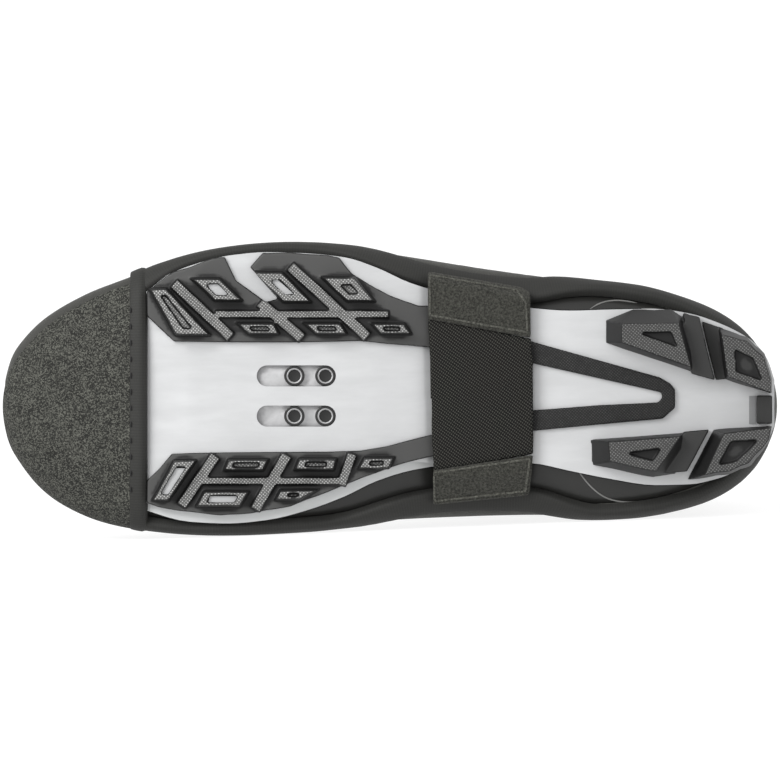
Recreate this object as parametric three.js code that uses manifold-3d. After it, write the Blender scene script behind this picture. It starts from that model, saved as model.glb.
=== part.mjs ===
// A worn neoprene cycling overshoe on an off-road cycling shoe, for the left foot.
// Millimetres. Every piece is worked out standing on its sole: x runs from the heel to the toe,
// y to the outer side of the foot, and z up from the underside of the plate at the cleats.
// At the end the whole shoe is laid down on its inner side.

import * as THREE from 'three';
import { ConvexGeometry } from 'three/addons/geometries/ConvexGeometry.js';
import { ConvexHull } from 'three/addons/math/ConvexHull.js';
import { mergeVertices } from 'three/addons/utils/BufferGeometryUtils.js';
import Module from 'manifold-3d';

const wasm = await Module();
wasm.setup();

// Driving sizes of the overshoe
const LENGTH = 280;
const BALL_WIDTH = 105.5;
const INSTEP_HEIGHT = 89;
const CUFF_HEIGHT = 143;
const NEOPRENE = 3;
const TOE_CAP_FABRIC = 1;
const BINDING = 0.9;
const HEM_WIDTH = 9.5;
const TOE_HEM_WIDTH = 6;
const CUFF_BAND = 12;
const STRAP_WEBBING = 1.6;
const STRAP_TAB = 2.2;

// Driving sizes of the shoe inside it
const UPPER_WALL = 2.2;
const COLLAR_BACK = 58;
const COLLAR_SLOPE = 17;
const ARCH_RISE = 8;
const TOE_SPRING = 20;
const PLATE = 2.5;
const MIDSOLE = 5.2;
const INSOLE = 3;
const WELT_STEP = 0.7;

// Driving sizes of the treads and the cleat seat
const LUG_HEIGHT = 8;
const HEEL_BUMPER_HEIGHT = 4;
const TREAD_BASE = 1.6;
const RIDGE_HEIGHT = 3;
const RIDGE_WIDTH = 4.4;
const RIDGE_DRAFT = 0.4;
const LUG_DRAFT = 0.7;
const LUG_RECESS = 2;
const ARCH_INSERT = 1.6;
const SLOT_LENGTH = 28.6;
const SLOT_WIDTH = 7.6;
const SLOT_SPACING = 14.5;
const SLOT_CENTRE = 0.6225;
const BOSS_BORE = 4.6;
const BOSS_SPACING = 11.2;
const NUT_PLATE = 2;
const NUT_PLATE_MARGIN = 3;

// Touching pieces keep this gap
const CLEARANCE = 0.3;

const RING_POINTS = 26;
const FAR = 400;

// Rows of values under their column names
const table = (columns, rows) => rows.map((row) =>
  Object.fromEntries(row.map((value, i) => [columns[i], value])));

// The underside of the plate. x is a share of LENGTH, arch of ARCH_RISE and toe of TOE_SPRING.
const PLATE_LINE = [
  { x: -0.02, arch: 1.0, toe: 0 },
  { x: 0.0, arch: 0.9, toe: 0 },
  { x: 0.07, arch: 0.68, toe: 0 },
  { x: 0.21, arch: 0.62, toe: 0 },
  { x: 0.29, arch: 0.82, toe: 0 },
  { x: 0.36, arch: 1.0, toe: 0 },
  { x: 0.41, arch: 0.84, toe: 0 },
  { x: 0.465, arch: 0.34, toe: 0 },
  { x: 0.51, arch: 0.05, toe: 0 },
  { x: 0.54, arch: 0, toe: 0 },
  { x: 0.73, arch: 0, toe: 0 },
  { x: 0.78, arch: 0, toe: 0.05 },
  { x: 0.83, arch: 0, toe: 0.16 },
  { x: 0.88, arch: 0, toe: 0.35 },
  { x: 0.93, arch: 0, toe: 0.6 },
  { x: 0.975, arch: 0, toe: 0.86 },
  { x: 1.0, arch: 0, toe: 1.0 },
  { x: 1.02, arch: 0, toe: 1.1 },
];

// The overshoe's outer form, as rings from the toe to above the cuff. A ring runs from the point
// back, lift over the underside, to the point front, rise. back and front are shares of LENGTH, lift
// is a share of INSTEP_HEIGHT and so is rise up to 1, and past 1 both count from the instep to the
// cuff. half and swing are shares of BALL_WIDTH. widest is the share of the ring's height at which
// it is widest, and square and crown are the powers of its lower and upper curve.
const FORM_RINGS = table(['back', 'lift', 'front', 'rise', 'half', 'swing', 'widest', 'square', 'crown'], [
  [0.998, 0.085, 0.998, 0.37, 0.075, -0.008, 0.5, 2, 2],
  [0.99, 0.045, 0.99, 0.44, 0.148, -0.012, 0.46, 2, 2],
  [0.977, 0.02, 0.977, 0.495, 0.204, -0.015, 0.42, 2.1, 2],
  [0.955, 0.006, 0.955, 0.545, 0.272, -0.022, 0.36, 2.3, 2.1],
  [0.928, 0, 0.928, 0.58, 0.327, -0.026, 0.32, 2.5, 2.2],
  [0.89, 0, 0.89, 0.615, 0.379, -0.025, 0.29, 2.7, 2.25],
  [0.85, 0, 0.85, 0.645, 0.415, -0.02, 0.26, 2.9, 2.25],
  [0.8, 0, 0.8, 0.685, 0.449, -0.006, 0.23, 3, 2.2],
  [0.75, 0, 0.75, 0.725, 0.473, 0.008, 0.21, 3, 2.1],
  [0.7, 0, 0.7, 0.775, 0.485, 0.019, 0.2, 3, 2],
  [0.65, 0, 0.65, 0.835, 0.488, 0.027, 0.2, 3, 1.9],
  [0.6, 0, 0.6, 0.905, 0.484, 0.031, 0.2, 2.9, 1.85],
  [0.55, 0, 0.552, 0.98, 0.473, 0.033, 0.2, 2.8, 1.8],
  [0.505, 0, 0.515, 1.075, 0.458, 0.031, 0.21, 2.6, 1.8],
  [0.46, 0, 0.487, 1.17, 0.446, 0.026, 0.21, 2.5, 1.8],
  [0.41, 0, 0.465, 1.265, 0.434, 0.019, 0.2, 2.4, 1.85],
  [0.345, 0, 0.449, 1.345, 0.42, 0.01, 0.19, 2.4, 1.9],
  [0.275, 0, 0.437, 1.415, 0.408, 0, 0.18, 2.5, 1.9],
  [0.205, 0, 0.428, 1.475, 0.402, -0.013, 0.18, 2.6, 1.9],
  [0.13, 0.004, 0.42, 1.53, 0.389, -0.019, 0.2, 2.6, 1.9],
  [0.062, 0.03, 0.414, 1.58, 0.362, -0.026, 0.25, 2.5, 1.95],
  [0.02, 0.105, 0.409, 1.625, 0.35, -0.03, 0.31, 2.3, 2],
  [0.004, 0.25, 0.405, 1.67, 0.35, -0.034, 0.37, 2.1, 2],
  [0.001, 0.43, 0.401, 1.715, 0.356, -0.032, 0.42, 2, 2],
  [0.007, 0.65, 0.397, 1.77, 0.349, -0.03, 0.46, 2, 2],
  [0.02, 0.9, 0.392, 1.83, 0.341, -0.024, 0.48, 2, 2],
  [0.035, 1.25, 0.387, 1.9, 0.335, -0.018, 0.49, 2, 2],
  [0.047, 1.62, 0.383, 1.97, 0.33, -0.013, 0.5, 2, 2],
  [0.055, 1.98, 0.38, 2.08, 0.327, -0.01, 0.5, 2, 2],
  [0.059, 2.25, 0.378, 2.26, 0.325, -0.008, 0.5, 2, 2],
]);

// The sole's outline. x is a share of LENGTH, the others are shares of BALL_WIDTH.
const SOLE_OUTLINE = [
  { x: 0.006, lateral: 0.055, medial: 0.1 },
  { x: 0.015, lateral: 0.125, medial: 0.16 },
  { x: 0.03, lateral: 0.178, medial: 0.212 },
  { x: 0.05, lateral: 0.215, medial: 0.25 },
  { x: 0.08, lateral: 0.252, medial: 0.283 },
  { x: 0.115, lateral: 0.282, medial: 0.302 },
  { x: 0.16, lateral: 0.298, medial: 0.305 },
  { x: 0.215, lateral: 0.296, medial: 0.285 },
  { x: 0.27, lateral: 0.292, medial: 0.256 },
  { x: 0.32, lateral: 0.301, medial: 0.23 },
  { x: 0.375, lateral: 0.322, medial: 0.226 },
  { x: 0.43, lateral: 0.352, medial: 0.236 },
  { x: 0.475, lateral: 0.386, medial: 0.255 },
  { x: 0.52, lateral: 0.44, medial: 0.292 },
  { x: 0.56, lateral: 0.474, medial: 0.343 },
  { x: 0.61, lateral: 0.488, medial: 0.392 },
  { x: 0.66, lateral: 0.492, medial: 0.424 },
  { x: 0.71, lateral: 0.48, medial: 0.436 },
  { x: 0.76, lateral: 0.445, medial: 0.43 },
  { x: 0.815, lateral: 0.38, medial: 0.392 },
  { x: 0.87, lateral: 0.305, medial: 0.33 },
  { x: 0.92, lateral: 0.22, medial: 0.26 },
  { x: 0.95, lateral: 0.14, medial: 0.185 },
];

// The opening in the overshoe's underside, with the same columns. It ends at the toe cap's binding.
const OPENING = [
  { x: -0.01, lateral: 0.2, medial: 0.24 },
  { x: 0.03, lateral: 0.25, medial: 0.295 },
  { x: 0.06, lateral: 0.29, medial: 0.335 },
  { x: 0.1, lateral: 0.315, medial: 0.37 },
  { x: 0.14, lateral: 0.328, medial: 0.392 },
  { x: 0.18, lateral: 0.345, medial: 0.401 },
  { x: 0.23, lateral: 0.363, medial: 0.397 },
  { x: 0.27, lateral: 0.356, medial: 0.367 },
  { x: 0.32, lateral: 0.326, medial: 0.321 },
  { x: 0.385, lateral: 0.34, medial: 0.315 },
  { x: 0.455, lateral: 0.378, medial: 0.33 },
  { x: 0.49, lateral: 0.408, medial: 0.352 },
  { x: 0.53, lateral: 0.455, medial: 0.39 },
  { x: 0.57, lateral: 0.485, medial: 0.423 },
  { x: 0.61, lateral: 0.499, medial: 0.435 },
  { x: 0.65, lateral: 0.502, medial: 0.442 },
  { x: 0.7, lateral: 0.49, medial: 0.446 },
  { x: 0.76, lateral: 0.453, medial: 0.449 },
  { x: 0.79, lateral: 0.412, medial: 0.444 },
  { x: 0.817, lateral: 0.357, medial: 0.43 },
];

// The top of the hem binding over the plate, as a share of HEM_WIDTH.
const HEM_TOP = [
  { x: -0.05, over: 1.6 },
  { x: 0.22, over: 1.55 },
  { x: 0.3, over: 1.1 },
  { x: 0.36, over: 0.8 },
  { x: 0.46, over: 0.8 },
  { x: 0.53, over: 0.9 },
  { x: 0.6, over: 1 },
  { x: 1.05, over: 1 },
];

// The forefoot treads between these lines: inner edge and outer edge as shares of BALL_WIDTH. Their
// heel ends pass under the strap.
const TREAD_LATERAL = [
  { x: 0.44, inner: 0.163, outer: 0.352 },
  { x: 0.475, inner: 0.172, outer: 0.384 },
  { x: 0.505, inner: 0.178, outer: 0.422 },
  { x: 0.54, inner: 0.188, outer: 0.457 },
  { x: 0.58, inner: 0.185, outer: 0.479 },
  { x: 0.63, inner: 0.183, outer: 0.49 },
  { x: 0.68, inner: 0.183, outer: 0.488 },
  { x: 0.73, inner: 0.184, outer: 0.468 },
  { x: 0.78, inner: 0.186, outer: 0.422 },
  { x: 0.79, inner: 0.21, outer: 0.408 },
  { x: 0.8, inner: 0.235, outer: 0.388 },
  { x: 0.8155, inner: 0.275, outer: 0.3565 },
];
const TREAD_MEDIAL = [
  { x: 0.44, inner: 0.127, outer: 0.204 },
  { x: 0.475, inner: 0.15, outer: 0.224 },
  { x: 0.505, inner: 0.172, outer: 0.25 },
  { x: 0.54, inner: 0.187, outer: 0.283 },
  { x: 0.58, inner: 0.19, outer: 0.325 },
  { x: 0.63, inner: 0.191, outer: 0.376 },
  { x: 0.68, inner: 0.192, outer: 0.4 },
  { x: 0.72, inner: 0.193, outer: 0.408 },
  { x: 0.76, inner: 0.195, outer: 0.396 },
  { x: 0.783, inner: 0.197, outer: 0.385 },
  { x: 0.8, inner: 0.25, outer: 0.378 },
  { x: 0.8155, inner: 0.29, outer: 0.366 },
];

// Forefoot lugs are four-sided. outer and inner are the two edges' shares of BALL_WIDTH, and the
// next four columns are where each edge starts and ends, as shares of LENGTH. The hollow in the face
// is as wide as its share along of the edges, and as deep between them as its share across.
const LUG_COLUMNS = ['outer', 'inner', 'outerToe', 'outerHeel', 'innerToe', 'innerHeel', 'along', 'across'];
const LUGS_LATERAL = table(LUG_COLUMNS, [
  [0.366, 0.207, 0.812, 0.79, 0.778, 0.733, 0.3, 0.72],
  [0.4, 0.325, 0.757, 0.721, 0.728, 0.692, 0.46, 0.5],
  [0.423, 0.32, 0.679, 0.641, 0.639, 0.603, 0.36, 0.5],
  [0.405, 0.323, 0.59, 0.547, 0.557, 0.521, 0.36, 0.4],
  [0.249, 0.211, 0.699, 0.652, 0.684, 0.644, 0.56, 0.42],
  [0.249, 0.211, 0.613, 0.566, 0.597, 0.557, 0.56, 0.42],
  [0.248, 0.211, 0.526, 0.483, 0.514, 0.474, 0.52, 0.42],
]);
const LUGS_MEDIAL = table(LUG_COLUMNS, [
  [0.356, 0.22, 0.808, 0.787, 0.78, 0.751, 0.46, 0.68],
  [0.255, 0.217, 0.716, 0.665, 0.71, 0.658, 0.66, 0.45],
  [0.378, 0.325, 0.752, 0.695, 0.741, 0.683, 0.62, 0.46],
  [0.253, 0.214, 0.625, 0.574, 0.619, 0.57, 0.55, 0.45],
  [0.355, 0.32, 0.65, 0.617, 0.643, 0.595, 0.4, 0.36],
  [0.25, 0.211, 0.543, 0.503, 0.535, 0.496, 0.45, 0.4],
]);

// Ridges between the lugs, from one end to the other. x is a share of LENGTH, y of BALL_WIDTH and
// width of RIDGE_WIDTH.
const RIDGE_COLUMNS = ['toeX', 'toeY', 'heelX', 'heelY', 'width'];
const RIDGES_LATERAL = table(RIDGE_COLUMNS, [
  [0.728, 0.28, 0.502, 0.28, 0.7],
  [0.781, 0.385, 0.706, 0.199, 1],
  [0.67, 0.322, 0.614, 0.195, 1],
  [0.631, 0.445, 0.53, 0.199, 1],
]);
const RIDGES_MEDIAL = table(RIDGE_COLUMNS, [
  [0.746, 0.29, 0.566, 0.29, 0.7],
  [0.771, 0.376, 0.726, 0.202, 1],
  [0.676, 0.39, 0.634, 0.199, 1],
  [0.565, 0.308, 0.55, 0.195, 0.9],
]);

// Two windows in the lateral tread, where the plate shows. x is a share of LENGTH, y of BALL_WIDTH.
const WINDOW_TOE = [
  { x: 0.721, y: 0.51 }, { x: 0.652, y: 0.53 }, { x: 0.682, y: 0.439 }, { x: 0.646, y: 0.332 },
  { x: 0.662, y: 0.322 }, { x: 0.7, y: 0.394 },
];
const WINDOW_WAIST = [
  { x: 0.575, y: 0.5 }, { x: 0.43, y: 0.4 }, { x: 0.43, y: 0.31 }, { x: 0.466, y: 0.31 },
  { x: 0.503, y: 0.345 }, { x: 0.53, y: 0.383 }, { x: 0.551, y: 0.417 },
];

// The heel lugs. foot is the outline at the plate, face the smaller one on the ground, hollow the
// recess in the face and step a lower ledge beside the lug, all counted the same way as the windows.
// ledge is how far the step reaches down from ARCH_RISE to the ground, as a share.
const HEEL_LUGS = {
  heel_lug_lateral_front: {
    foot: [
      { x: 0.229, y: 0.263 }, { x: 0.185, y: 0.31 }, { x: 0.142, y: 0.307 }, { x: 0.119, y: 0.268 },
      { x: 0.111, y: 0.078 }, { x: 0.229, y: 0.182 },
    ],
    face: [{ x: 0.203, y: 0.247 }, { x: 0.13, y: 0.247 }, { x: 0.114, y: 0.098 }, { x: 0.203, y: 0.182 }],
    hollow: [{ x: 0.185, y: 0.218 }, { x: 0.14, y: 0.218 }, { x: 0.131, y: 0.166 }],
    step: [
      { x: 0.124, y: 0.284 }, { x: 0.103, y: 0.268 }, { x: 0.094, y: 0.165 }, { x: 0.083, y: 0.054 },
      { x: 0.113, y: 0.076 },
    ],
    ledge: 0.65,
  },
  heel_lug_lateral_rear: {
    foot: [
      { x: 0.078, y: 0.238 }, { x: 0.042, y: 0.204 }, { x: 0.018, y: 0.142 }, { x: 0.009, y: 0.06 },
      { x: 0.009, y: 0.008 }, { x: 0.069, y: 0.055 },
    ],
    face: [
      { x: 0.075, y: 0.21 }, { x: 0.042, y: 0.186 }, { x: 0.02, y: 0.129 }, { x: 0.011, y: 0.05 },
      { x: 0.011, y: 0.01 }, { x: 0.067, y: 0.066 },
    ],
    hollow: [{ x: 0.058, y: 0.16 }, { x: 0.034, y: 0.128 }, { x: 0.022, y: 0.052 }, { x: 0.056, y: 0.083 }],
    step: [
      { x: 0.1, y: 0.254 }, { x: 0.073, y: 0.232 }, { x: 0.064, y: 0.06 }, { x: 0.0815, y: 0.054 },
      { x: 0.0922, y: 0.165 },
    ],
    ledge: 0.28,
  },
  heel_lug_medial_front: {
    foot: [
      { x: 0.248, y: -0.147 }, { x: 0.246, y: -0.238 }, { x: 0.163, y: -0.283 }, { x: 0.128, y: -0.268 },
      { x: 0.121, y: -0.122 },
    ],
    face: [{ x: 0.22, y: -0.156 }, { x: 0.128, y: -0.138 }, { x: 0.159, y: -0.258 }, { x: 0.218, y: -0.224 }],
    hollow: [{ x: 0.201, y: -0.194 }, { x: 0.152, y: -0.178 }, { x: 0.163, y: -0.221 }],
    step: [{ x: 0.123, y: -0.122 }, { x: 0.09, y: -0.114 }, { x: 0.119, y: -0.258 }, { x: 0.148, y: -0.264 }],
    ledge: 0.65,
  },
  heel_lug_medial_rear: {
    foot: [
      { x: 0.088, y: -0.112 }, { x: 0.009, y: -0.101 }, { x: 0.012, y: -0.152 }, { x: 0.036, y: -0.238 },
      { x: 0.064, y: -0.268 }, { x: 0.124, y: -0.292 },
    ],
    face: [
      { x: 0.071, y: -0.127 }, { x: 0.011, y: -0.108 }, { x: 0.014, y: -0.149 }, { x: 0.04, y: -0.227 },
      { x: 0.064, y: -0.255 }, { x: 0.096, y: -0.268 },
    ],
    hollow: [
      { x: 0.063, y: -0.156 }, { x: 0.027, y: -0.149 }, { x: 0.055, y: -0.221 }, { x: 0.079, y: -0.235 },
    ],
    step: [],
    ledge: 0,
  },
};
const HEEL_BUMPER = { toe: 0.029, heel: 0.009, lateral: 0.002, medial: 0.095 };

// The wedge-shaped band in the arch: its outer and inner outline, open under the strap.
const ARCH_BAND_OUTER = [
  { x: 0.345, y: 0.206 }, { x: 0.154, y: 0.064 }, { x: 0.141, y: 0.044 }, { x: 0.134, y: 0.022 },
  { x: 0.134, y: -0.04 }, { x: 0.15, y: -0.078 }, { x: 0.24, y: -0.1 }, { x: 0.345, y: -0.127 },
];
const ARCH_BAND_INNER = [
  { x: 0.352, y: 0.132 }, { x: 0.152, y: 0.012 }, { x: 0.151, y: -0.006 }, { x: 0.156, y: -0.022 },
  { x: 0.231, y: -0.031 }, { x: 0.352, y: -0.056 },
];

// The strap is drawn tight, over the hull of the waist between these shares of LENGTH and up to this
// share of BALL_WIDTH. The sole's edges count over a shorter part of it than the sides do.
const WAIST_REACH = [0.29, 0.485];
const SOLE_REACH = [0.3, 0.475];
const WAIST_TOP = 0.3;

// The strap's three parts, seen from below.
const ELASTIC_OUTLINE = [
  { x: 0.453, y: 0.256 }, { x: 0.32, y: 0.193 }, { x: 0.316, y: 0.1 }, { x: 0.315, y: -0.04 },
  { x: 0.317, y: -0.195 }, { x: 0.446, y: -0.248 }, { x: 0.449, y: -0.1 },
];
const TAB_LATERAL_OUTLINE = [
  { x: 0.453, y: 0.426 }, { x: 0.333, y: 0.373 }, { x: 0.321, y: 0.355 }, { x: 0.32, y: 0.198 },
  { x: 0.453, y: 0.262 },
];
const TAB_MEDIAL_OUTLINE = [
  { x: 0.446, y: -0.254 }, { x: 0.317, y: -0.201 }, { x: 0.322, y: -0.34 }, { x: 0.446, y: -0.373 },
];

// The toe cap's upper edge is a sloping plane: its height over the plate's line in the middle, its
// climb towards the toe tip and its climb towards the inner side, where it passes out of sight.
const CAP_EDGE_HEIGHT = 18;
const CAP_CLIMB_TOE = 0.2;
const CAP_CLIMB_MEDIAL = 0.2;
const CAP_EDGE_STATION = 0.905;

// Rises smoothly through a table's rows without overshooting them
function curveThrough(rows, name) {
  const slopes = rows.slice(1).map((row, i) => (row[name] - rows[i][name]) / (row.x - rows[i].x));
  const tangents = rows.map((row, i) => {
    const before = slopes[Math.max(i - 1, 0)];
    const after = slopes[Math.min(i, slopes.length - 1)];
    return before * after > 0 ? (2 * before * after) / (before + after) : 0;
  });
  return (x) => {
    const share = Math.min(Math.max(x / LENGTH, rows[0].x), rows[rows.length - 1].x);
    const next = Math.max(rows.findIndex((row) => row.x >= share), 1);
    const [a, b] = [rows[next - 1], rows[next]];
    const span = b.x - a.x;
    const t = (share - a.x) / span;
    const startWeight = (1 + 2 * t) * (1 - t) ** 2;
    const leaving = t * (1 - t) ** 2 * span * tangents[next - 1];
    const arriving = t * t * (1 - t) * span * tangents[next];
    return a[name] * startWeight + b[name] * (1 - startWeight) + leaving - arriving;
  };
}

const archAt = curveThrough(PLATE_LINE, 'arch');
const toeAt = curveThrough(PLATE_LINE, 'toe');
const plateLine = (x) => ARCH_RISE * archAt(x) + TOE_SPRING * toeAt(x);
const widthCurve = (rows, name) => {
  const share = curveThrough(rows, name);
  return (x) => BALL_WIDTH * share(x);
};
const soleLateral = widthCurve(SOLE_OUTLINE, 'lateral');
const soleMedial = widthCurve(SOLE_OUTLINE, 'medial');
const openingLateral = widthCurve(OPENING, 'lateral');
const openingMedial = widthCurve(OPENING, 'medial');
const hemOver = curveThrough(HEM_TOP, 'over');
const openingEnd = OPENING[OPENING.length - 1].x * LENGTH;

// Solids and geometries
function toSolid(geometry) {
  const bare = geometry.clone();
  bare.deleteAttribute('normal');
  bare.deleteAttribute('uv');
  const merged = mergeVertices(bare, 1e-4);
  return new wasm.Manifold(new wasm.Mesh({
    numProp: 3,
    vertProperties: new Float32Array(merged.attributes.position.array),
    triVerts: new Uint32Array(merged.index.array),
  }));
}

function toGeometry(solid) {
  const mesh = solid.getMesh();
  const geometry = new THREE.BufferGeometry();
  geometry.setAttribute('position', new THREE.BufferAttribute(new Float32Array(mesh.vertProperties), 3));
  geometry.setIndex(new THREE.BufferAttribute(new Uint32Array(mesh.triVerts), 1));
  return geometry;
}

const join = (solids) => solids.reduce((sum, solid) => sum.add(solid));

// A closed skin over rings that all have the same number of points, with a pole at each end
function skin(rings) {
  const count = rings[0].length;
  const poles = [rings[0], rings[rings.length - 1]].map((ring) =>
    ring.reduce((sum, point) => sum.add(point), new THREE.Vector3()).divideScalar(count));
  const points = [...rings.flat(), ...poles];
  const first = points.length - 2;
  const last = points.length - 1;
  const faces = [];
  rings.forEach((ring, k) => {
    for (let i = 0; i < count; i += 1) {
      const j = (i + 1) % count;
      const [a, b] = [k * count + i, k * count + j];
      if (k === 0) {
        faces.push(first, a, b);
      }
      if (k === rings.length - 1) {
        faces.push(last, b, a);
      } else {
        faces.push(a, a + count, b, b, a + count, b + count);
      }
    }
  });
  const geometry = new THREE.BufferGeometry();
  geometry.setAttribute('position', new THREE.Float32BufferAttribute(points.flatMap((p) => p.toArray()), 3));
  geometry.setIndex(faces);
  return geometry;
}

// The last's form, with every point moved out along its normal
const instepToCuff = CUFF_HEIGHT - INSTEP_HEIGHT;
const heightOf = (share) => INSTEP_HEIGHT * Math.min(share, 1) + instepToCuff * Math.max(share - 1, 0);
const underForm = (x) => plateLine(x) - NEOPRENE - CLEARANCE + WELT_STEP * Number(x < openingEnd);

function formRing(row) {
  const backX = row.back * LENGTH;
  const bottom = new THREE.Vector3(backX, 0, underForm(backX) + heightOf(row.lift));
  const top = new THREE.Vector3(row.front * LENGTH, 0, heightOf(row.rise));
  const span = top.clone().sub(bottom);
  const middle = bottom.clone().addScaledVector(span, row.widest);
  return Array.from({ length: RING_POINTS }, (_, i) => {
    const angle = (2 * Math.PI * (i + 0.5)) / RING_POINTS;
    const [up, side] = [Math.cos(angle), -Math.sin(angle)];
    const power = 2 / (up > 0 ? row.crown : row.square);
    const height = Math.sign(up) * Math.abs(up) ** power * (up > 0 ? 1 - row.widest : row.widest);
    const width = Math.sign(side) * Math.abs(side) ** power * row.half + row.swing;
    return middle.clone().addScaledVector(span, height).setY(width * BALL_WIDTH);
  });
}

const formGeometry = skin(FORM_RINGS.map(formRing));
formGeometry.computeVertexNormals();

function form(grow) {
  const moved = formGeometry.clone();
  const { position, normal } = moved.attributes;
  for (let i = 0; i < position.count; i += 1) {
    position.setXYZ(
      i,
      position.getX(i) + grow * normal.getX(i),
      position.getY(i) + grow * normal.getY(i),
      position.getZ(i) + grow * normal.getZ(i),
    );
  }
  return toSolid(moved);
}

const between = (outer, inner) => form(outer).subtract(form(inner));

// A bar of four corners at each station along the shoe, between two side lines and two heights
function bar(stations, lateral, medial, low, high) {
  return toSolid(skin(stations.map((x) => [
    new THREE.Vector3(x, lateral(x), low(x)),
    new THREE.Vector3(x, lateral(x), high(x)),
    new THREE.Vector3(x, medial(x), high(x)),
    new THREE.Vector3(x, medial(x), low(x)),
  ]).reverse()));
}

const stationsOf = (rows) => rows.map((row) => row.x * LENGTH);
const follow = (over) => (x) => plateLine(x) + over;

// A flat outline of shares, drawn out between two heights
const placed = (outline) => outline.map(({ x, y }) => new THREE.Vector2(x * LENGTH, y * BALL_WIDTH));

function prism(outline, low, high) {
  const shape = new THREE.Shape(outline);
  const geometry = new THREE.ExtrudeGeometry(shape, { depth: high - low, bevelEnabled: false });
  return toSolid(geometry.translate(0, 0, low));
}

// Moves each side of a convex outline inwards
function shrink(outline, distance) {
  const ordered = THREE.ShapeUtils.isClockWise(outline) ? [...outline].reverse() : outline;
  return ordered.map((point, i) => {
    const before = ordered[(i + ordered.length - 1) % ordered.length];
    const after = ordered[(i + 1) % ordered.length];
    const arriving = point.clone().sub(before).normalize();
    const leaving = after.clone().sub(point).normalize();
    const inward = new THREE.Vector2(-arriving.y - leaving.y, arriving.x + leaving.x).normalize();
    const sharpness = inward.dot(new THREE.Vector2(-arriving.y, arriving.x));
    return point.clone().addScaledVector(inward, distance / sharpness);
  });
}

// A convex block with one outline at its foot and another on its face
function block(foot, face, footZ, faceZ) {
  return toSolid(new ConvexGeometry([
    ...foot.map((point) => new THREE.Vector3(point.x, point.y, footZ)),
    ...face.map((point) => new THREE.Vector3(point.x, point.y, faceZ)),
  ]));
}

// Moves a solid that was built on a level plate onto the plate's own line
function seat(solid) {
  const geometry = toGeometry(solid);
  const { position } = geometry.attributes;
  for (let i = 0; i < position.count; i += 1) {
    position.setZ(i, position.getZ(i) + plateLine(position.getX(i)));
  }
  return toSolid(geometry);
}

const wideBox = (depth) => new THREE.BoxGeometry(2 * FAR, 2 * FAR, depth);
const below = (height) => toSolid(wideBox(FAR).translate(0, 0, height - FAR / 2));
const toeward = (x) => toSolid(new THREE.BoxGeometry(FAR, 2 * FAR, 2 * FAR).translate(x + FAR / 2, 0, 0));

// Overshoe
const soleTop = PLATE + CLEARANCE + MIDSOLE;
const openingCut = bar(
  stationsOf(OPENING),
  openingLateral,
  (x) => -openingMedial(x),
  follow(-FAR),
  follow(soleTop + 2 * CLEARANCE),
);
const soleSpace = bar(
  stationsOf(OPENING),
  (x) => openingLateral(x) - CLEARANCE,
  (x) => CLEARANCE - openingMedial(x),
  follow(-FAR),
  follow(soleTop + CLEARANCE),
).subtract(toeward(openingEnd - CLEARANCE)).add(form(-NEOPRENE - CLEARANCE));

function overshoeShell() {
  return between(0, -NEOPRENE).intersect(below(CUFF_HEIGHT)).subtract(openingCut);
}

function hemBinding() {
  const hemEnd = openingEnd + TOE_HEM_WIDTH;
  const stations = [...stationsOf(HEM_TOP), ...stationsOf(OPENING)]
    .filter((x) => x <= openingEnd)
    .sort((a, b) => a - b)
    .concat(hemEnd);
  const band = bar(
    stations, () => FAR, () => -FAR, () => -FAR, (x) => plateLine(x) + HEM_WIDTH * hemOver(x),
  );
  return between(CLEARANCE + BINDING, CLEARANCE).intersect(band).subtract(openingCut);
}

function toeCap() {
  const edge = wideBox(FAR)
    .translate(0, 0, -FAR / 2)
    .rotateY(-Math.atan(CAP_CLIMB_TOE))
    .rotateX(-Math.atan(CAP_CLIMB_MEDIAL))
    .translate(CAP_EDGE_STATION * LENGTH, 0, CAP_EDGE_HEIGHT);
  const start = openingEnd + TOE_HEM_WIDTH + CLEARANCE;
  return between(CLEARANCE + TOE_CAP_FABRIC, CLEARANCE).intersect(toSolid(edge)).intersect(toeward(start));
}

function cuffBinding() {
  return between(CLEARANCE + BINDING, CLEARANCE)
    .intersect(below(CUFF_HEIGHT))
    .subtract(below(CUFF_HEIGHT - CUFF_BAND));
}

const overBinding = 2 * CLEARANCE + BINDING;

// The hull of the shoe's waist, sides and sole edges together
function waistHull(grow) {
  const skinPoints = toGeometry(form(overBinding + grow)).attributes.position;
  const [start, end] = WAIST_REACH.map((share) => share * LENGTH);
  const points = [];
  for (let i = 0; i < skinPoints.count; i += 1) {
    const point = new THREE.Vector3().fromBufferAttribute(skinPoints, i);
    const over = point.z - plateLine(point.x);
    if (point.x > start && point.x < end && over > PLATE && over < WAIST_TOP * BALL_WIDTH) {
      points.push(point);
    }
  }
  SOLE_REACH.map((share) => share * LENGTH).forEach((x) => {
    const z = plateLine(x) - TREAD_BASE - 2 * CLEARANCE - grow;
    points.push(new THREE.Vector3(x, soleLateral(x) + CLEARANCE + grow, z));
    points.push(new THREE.Vector3(x, -soleMedial(x) - CLEARANCE - grow, z));
  });
  return toSolid(new ConvexGeometry(points));
}

function strapPart(outline, thickness) {
  return waistHull(thickness)
    .subtract(waistHull(0))
    .subtract(form(overBinding))
    .intersect(prism(placed(outline), -FAR, BALL_WIDTH / 4));
}

// Shoe
const upperSkin = -NEOPRENE - CLEARANCE;
const collar = toSolid(wideBox(FAR)
  .translate(0, 0, -FAR / 2)
  .rotateY(-THREE.MathUtils.degToRad(COLLAR_SLOPE))
  .translate(0, 0, COLLAR_BACK));

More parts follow.
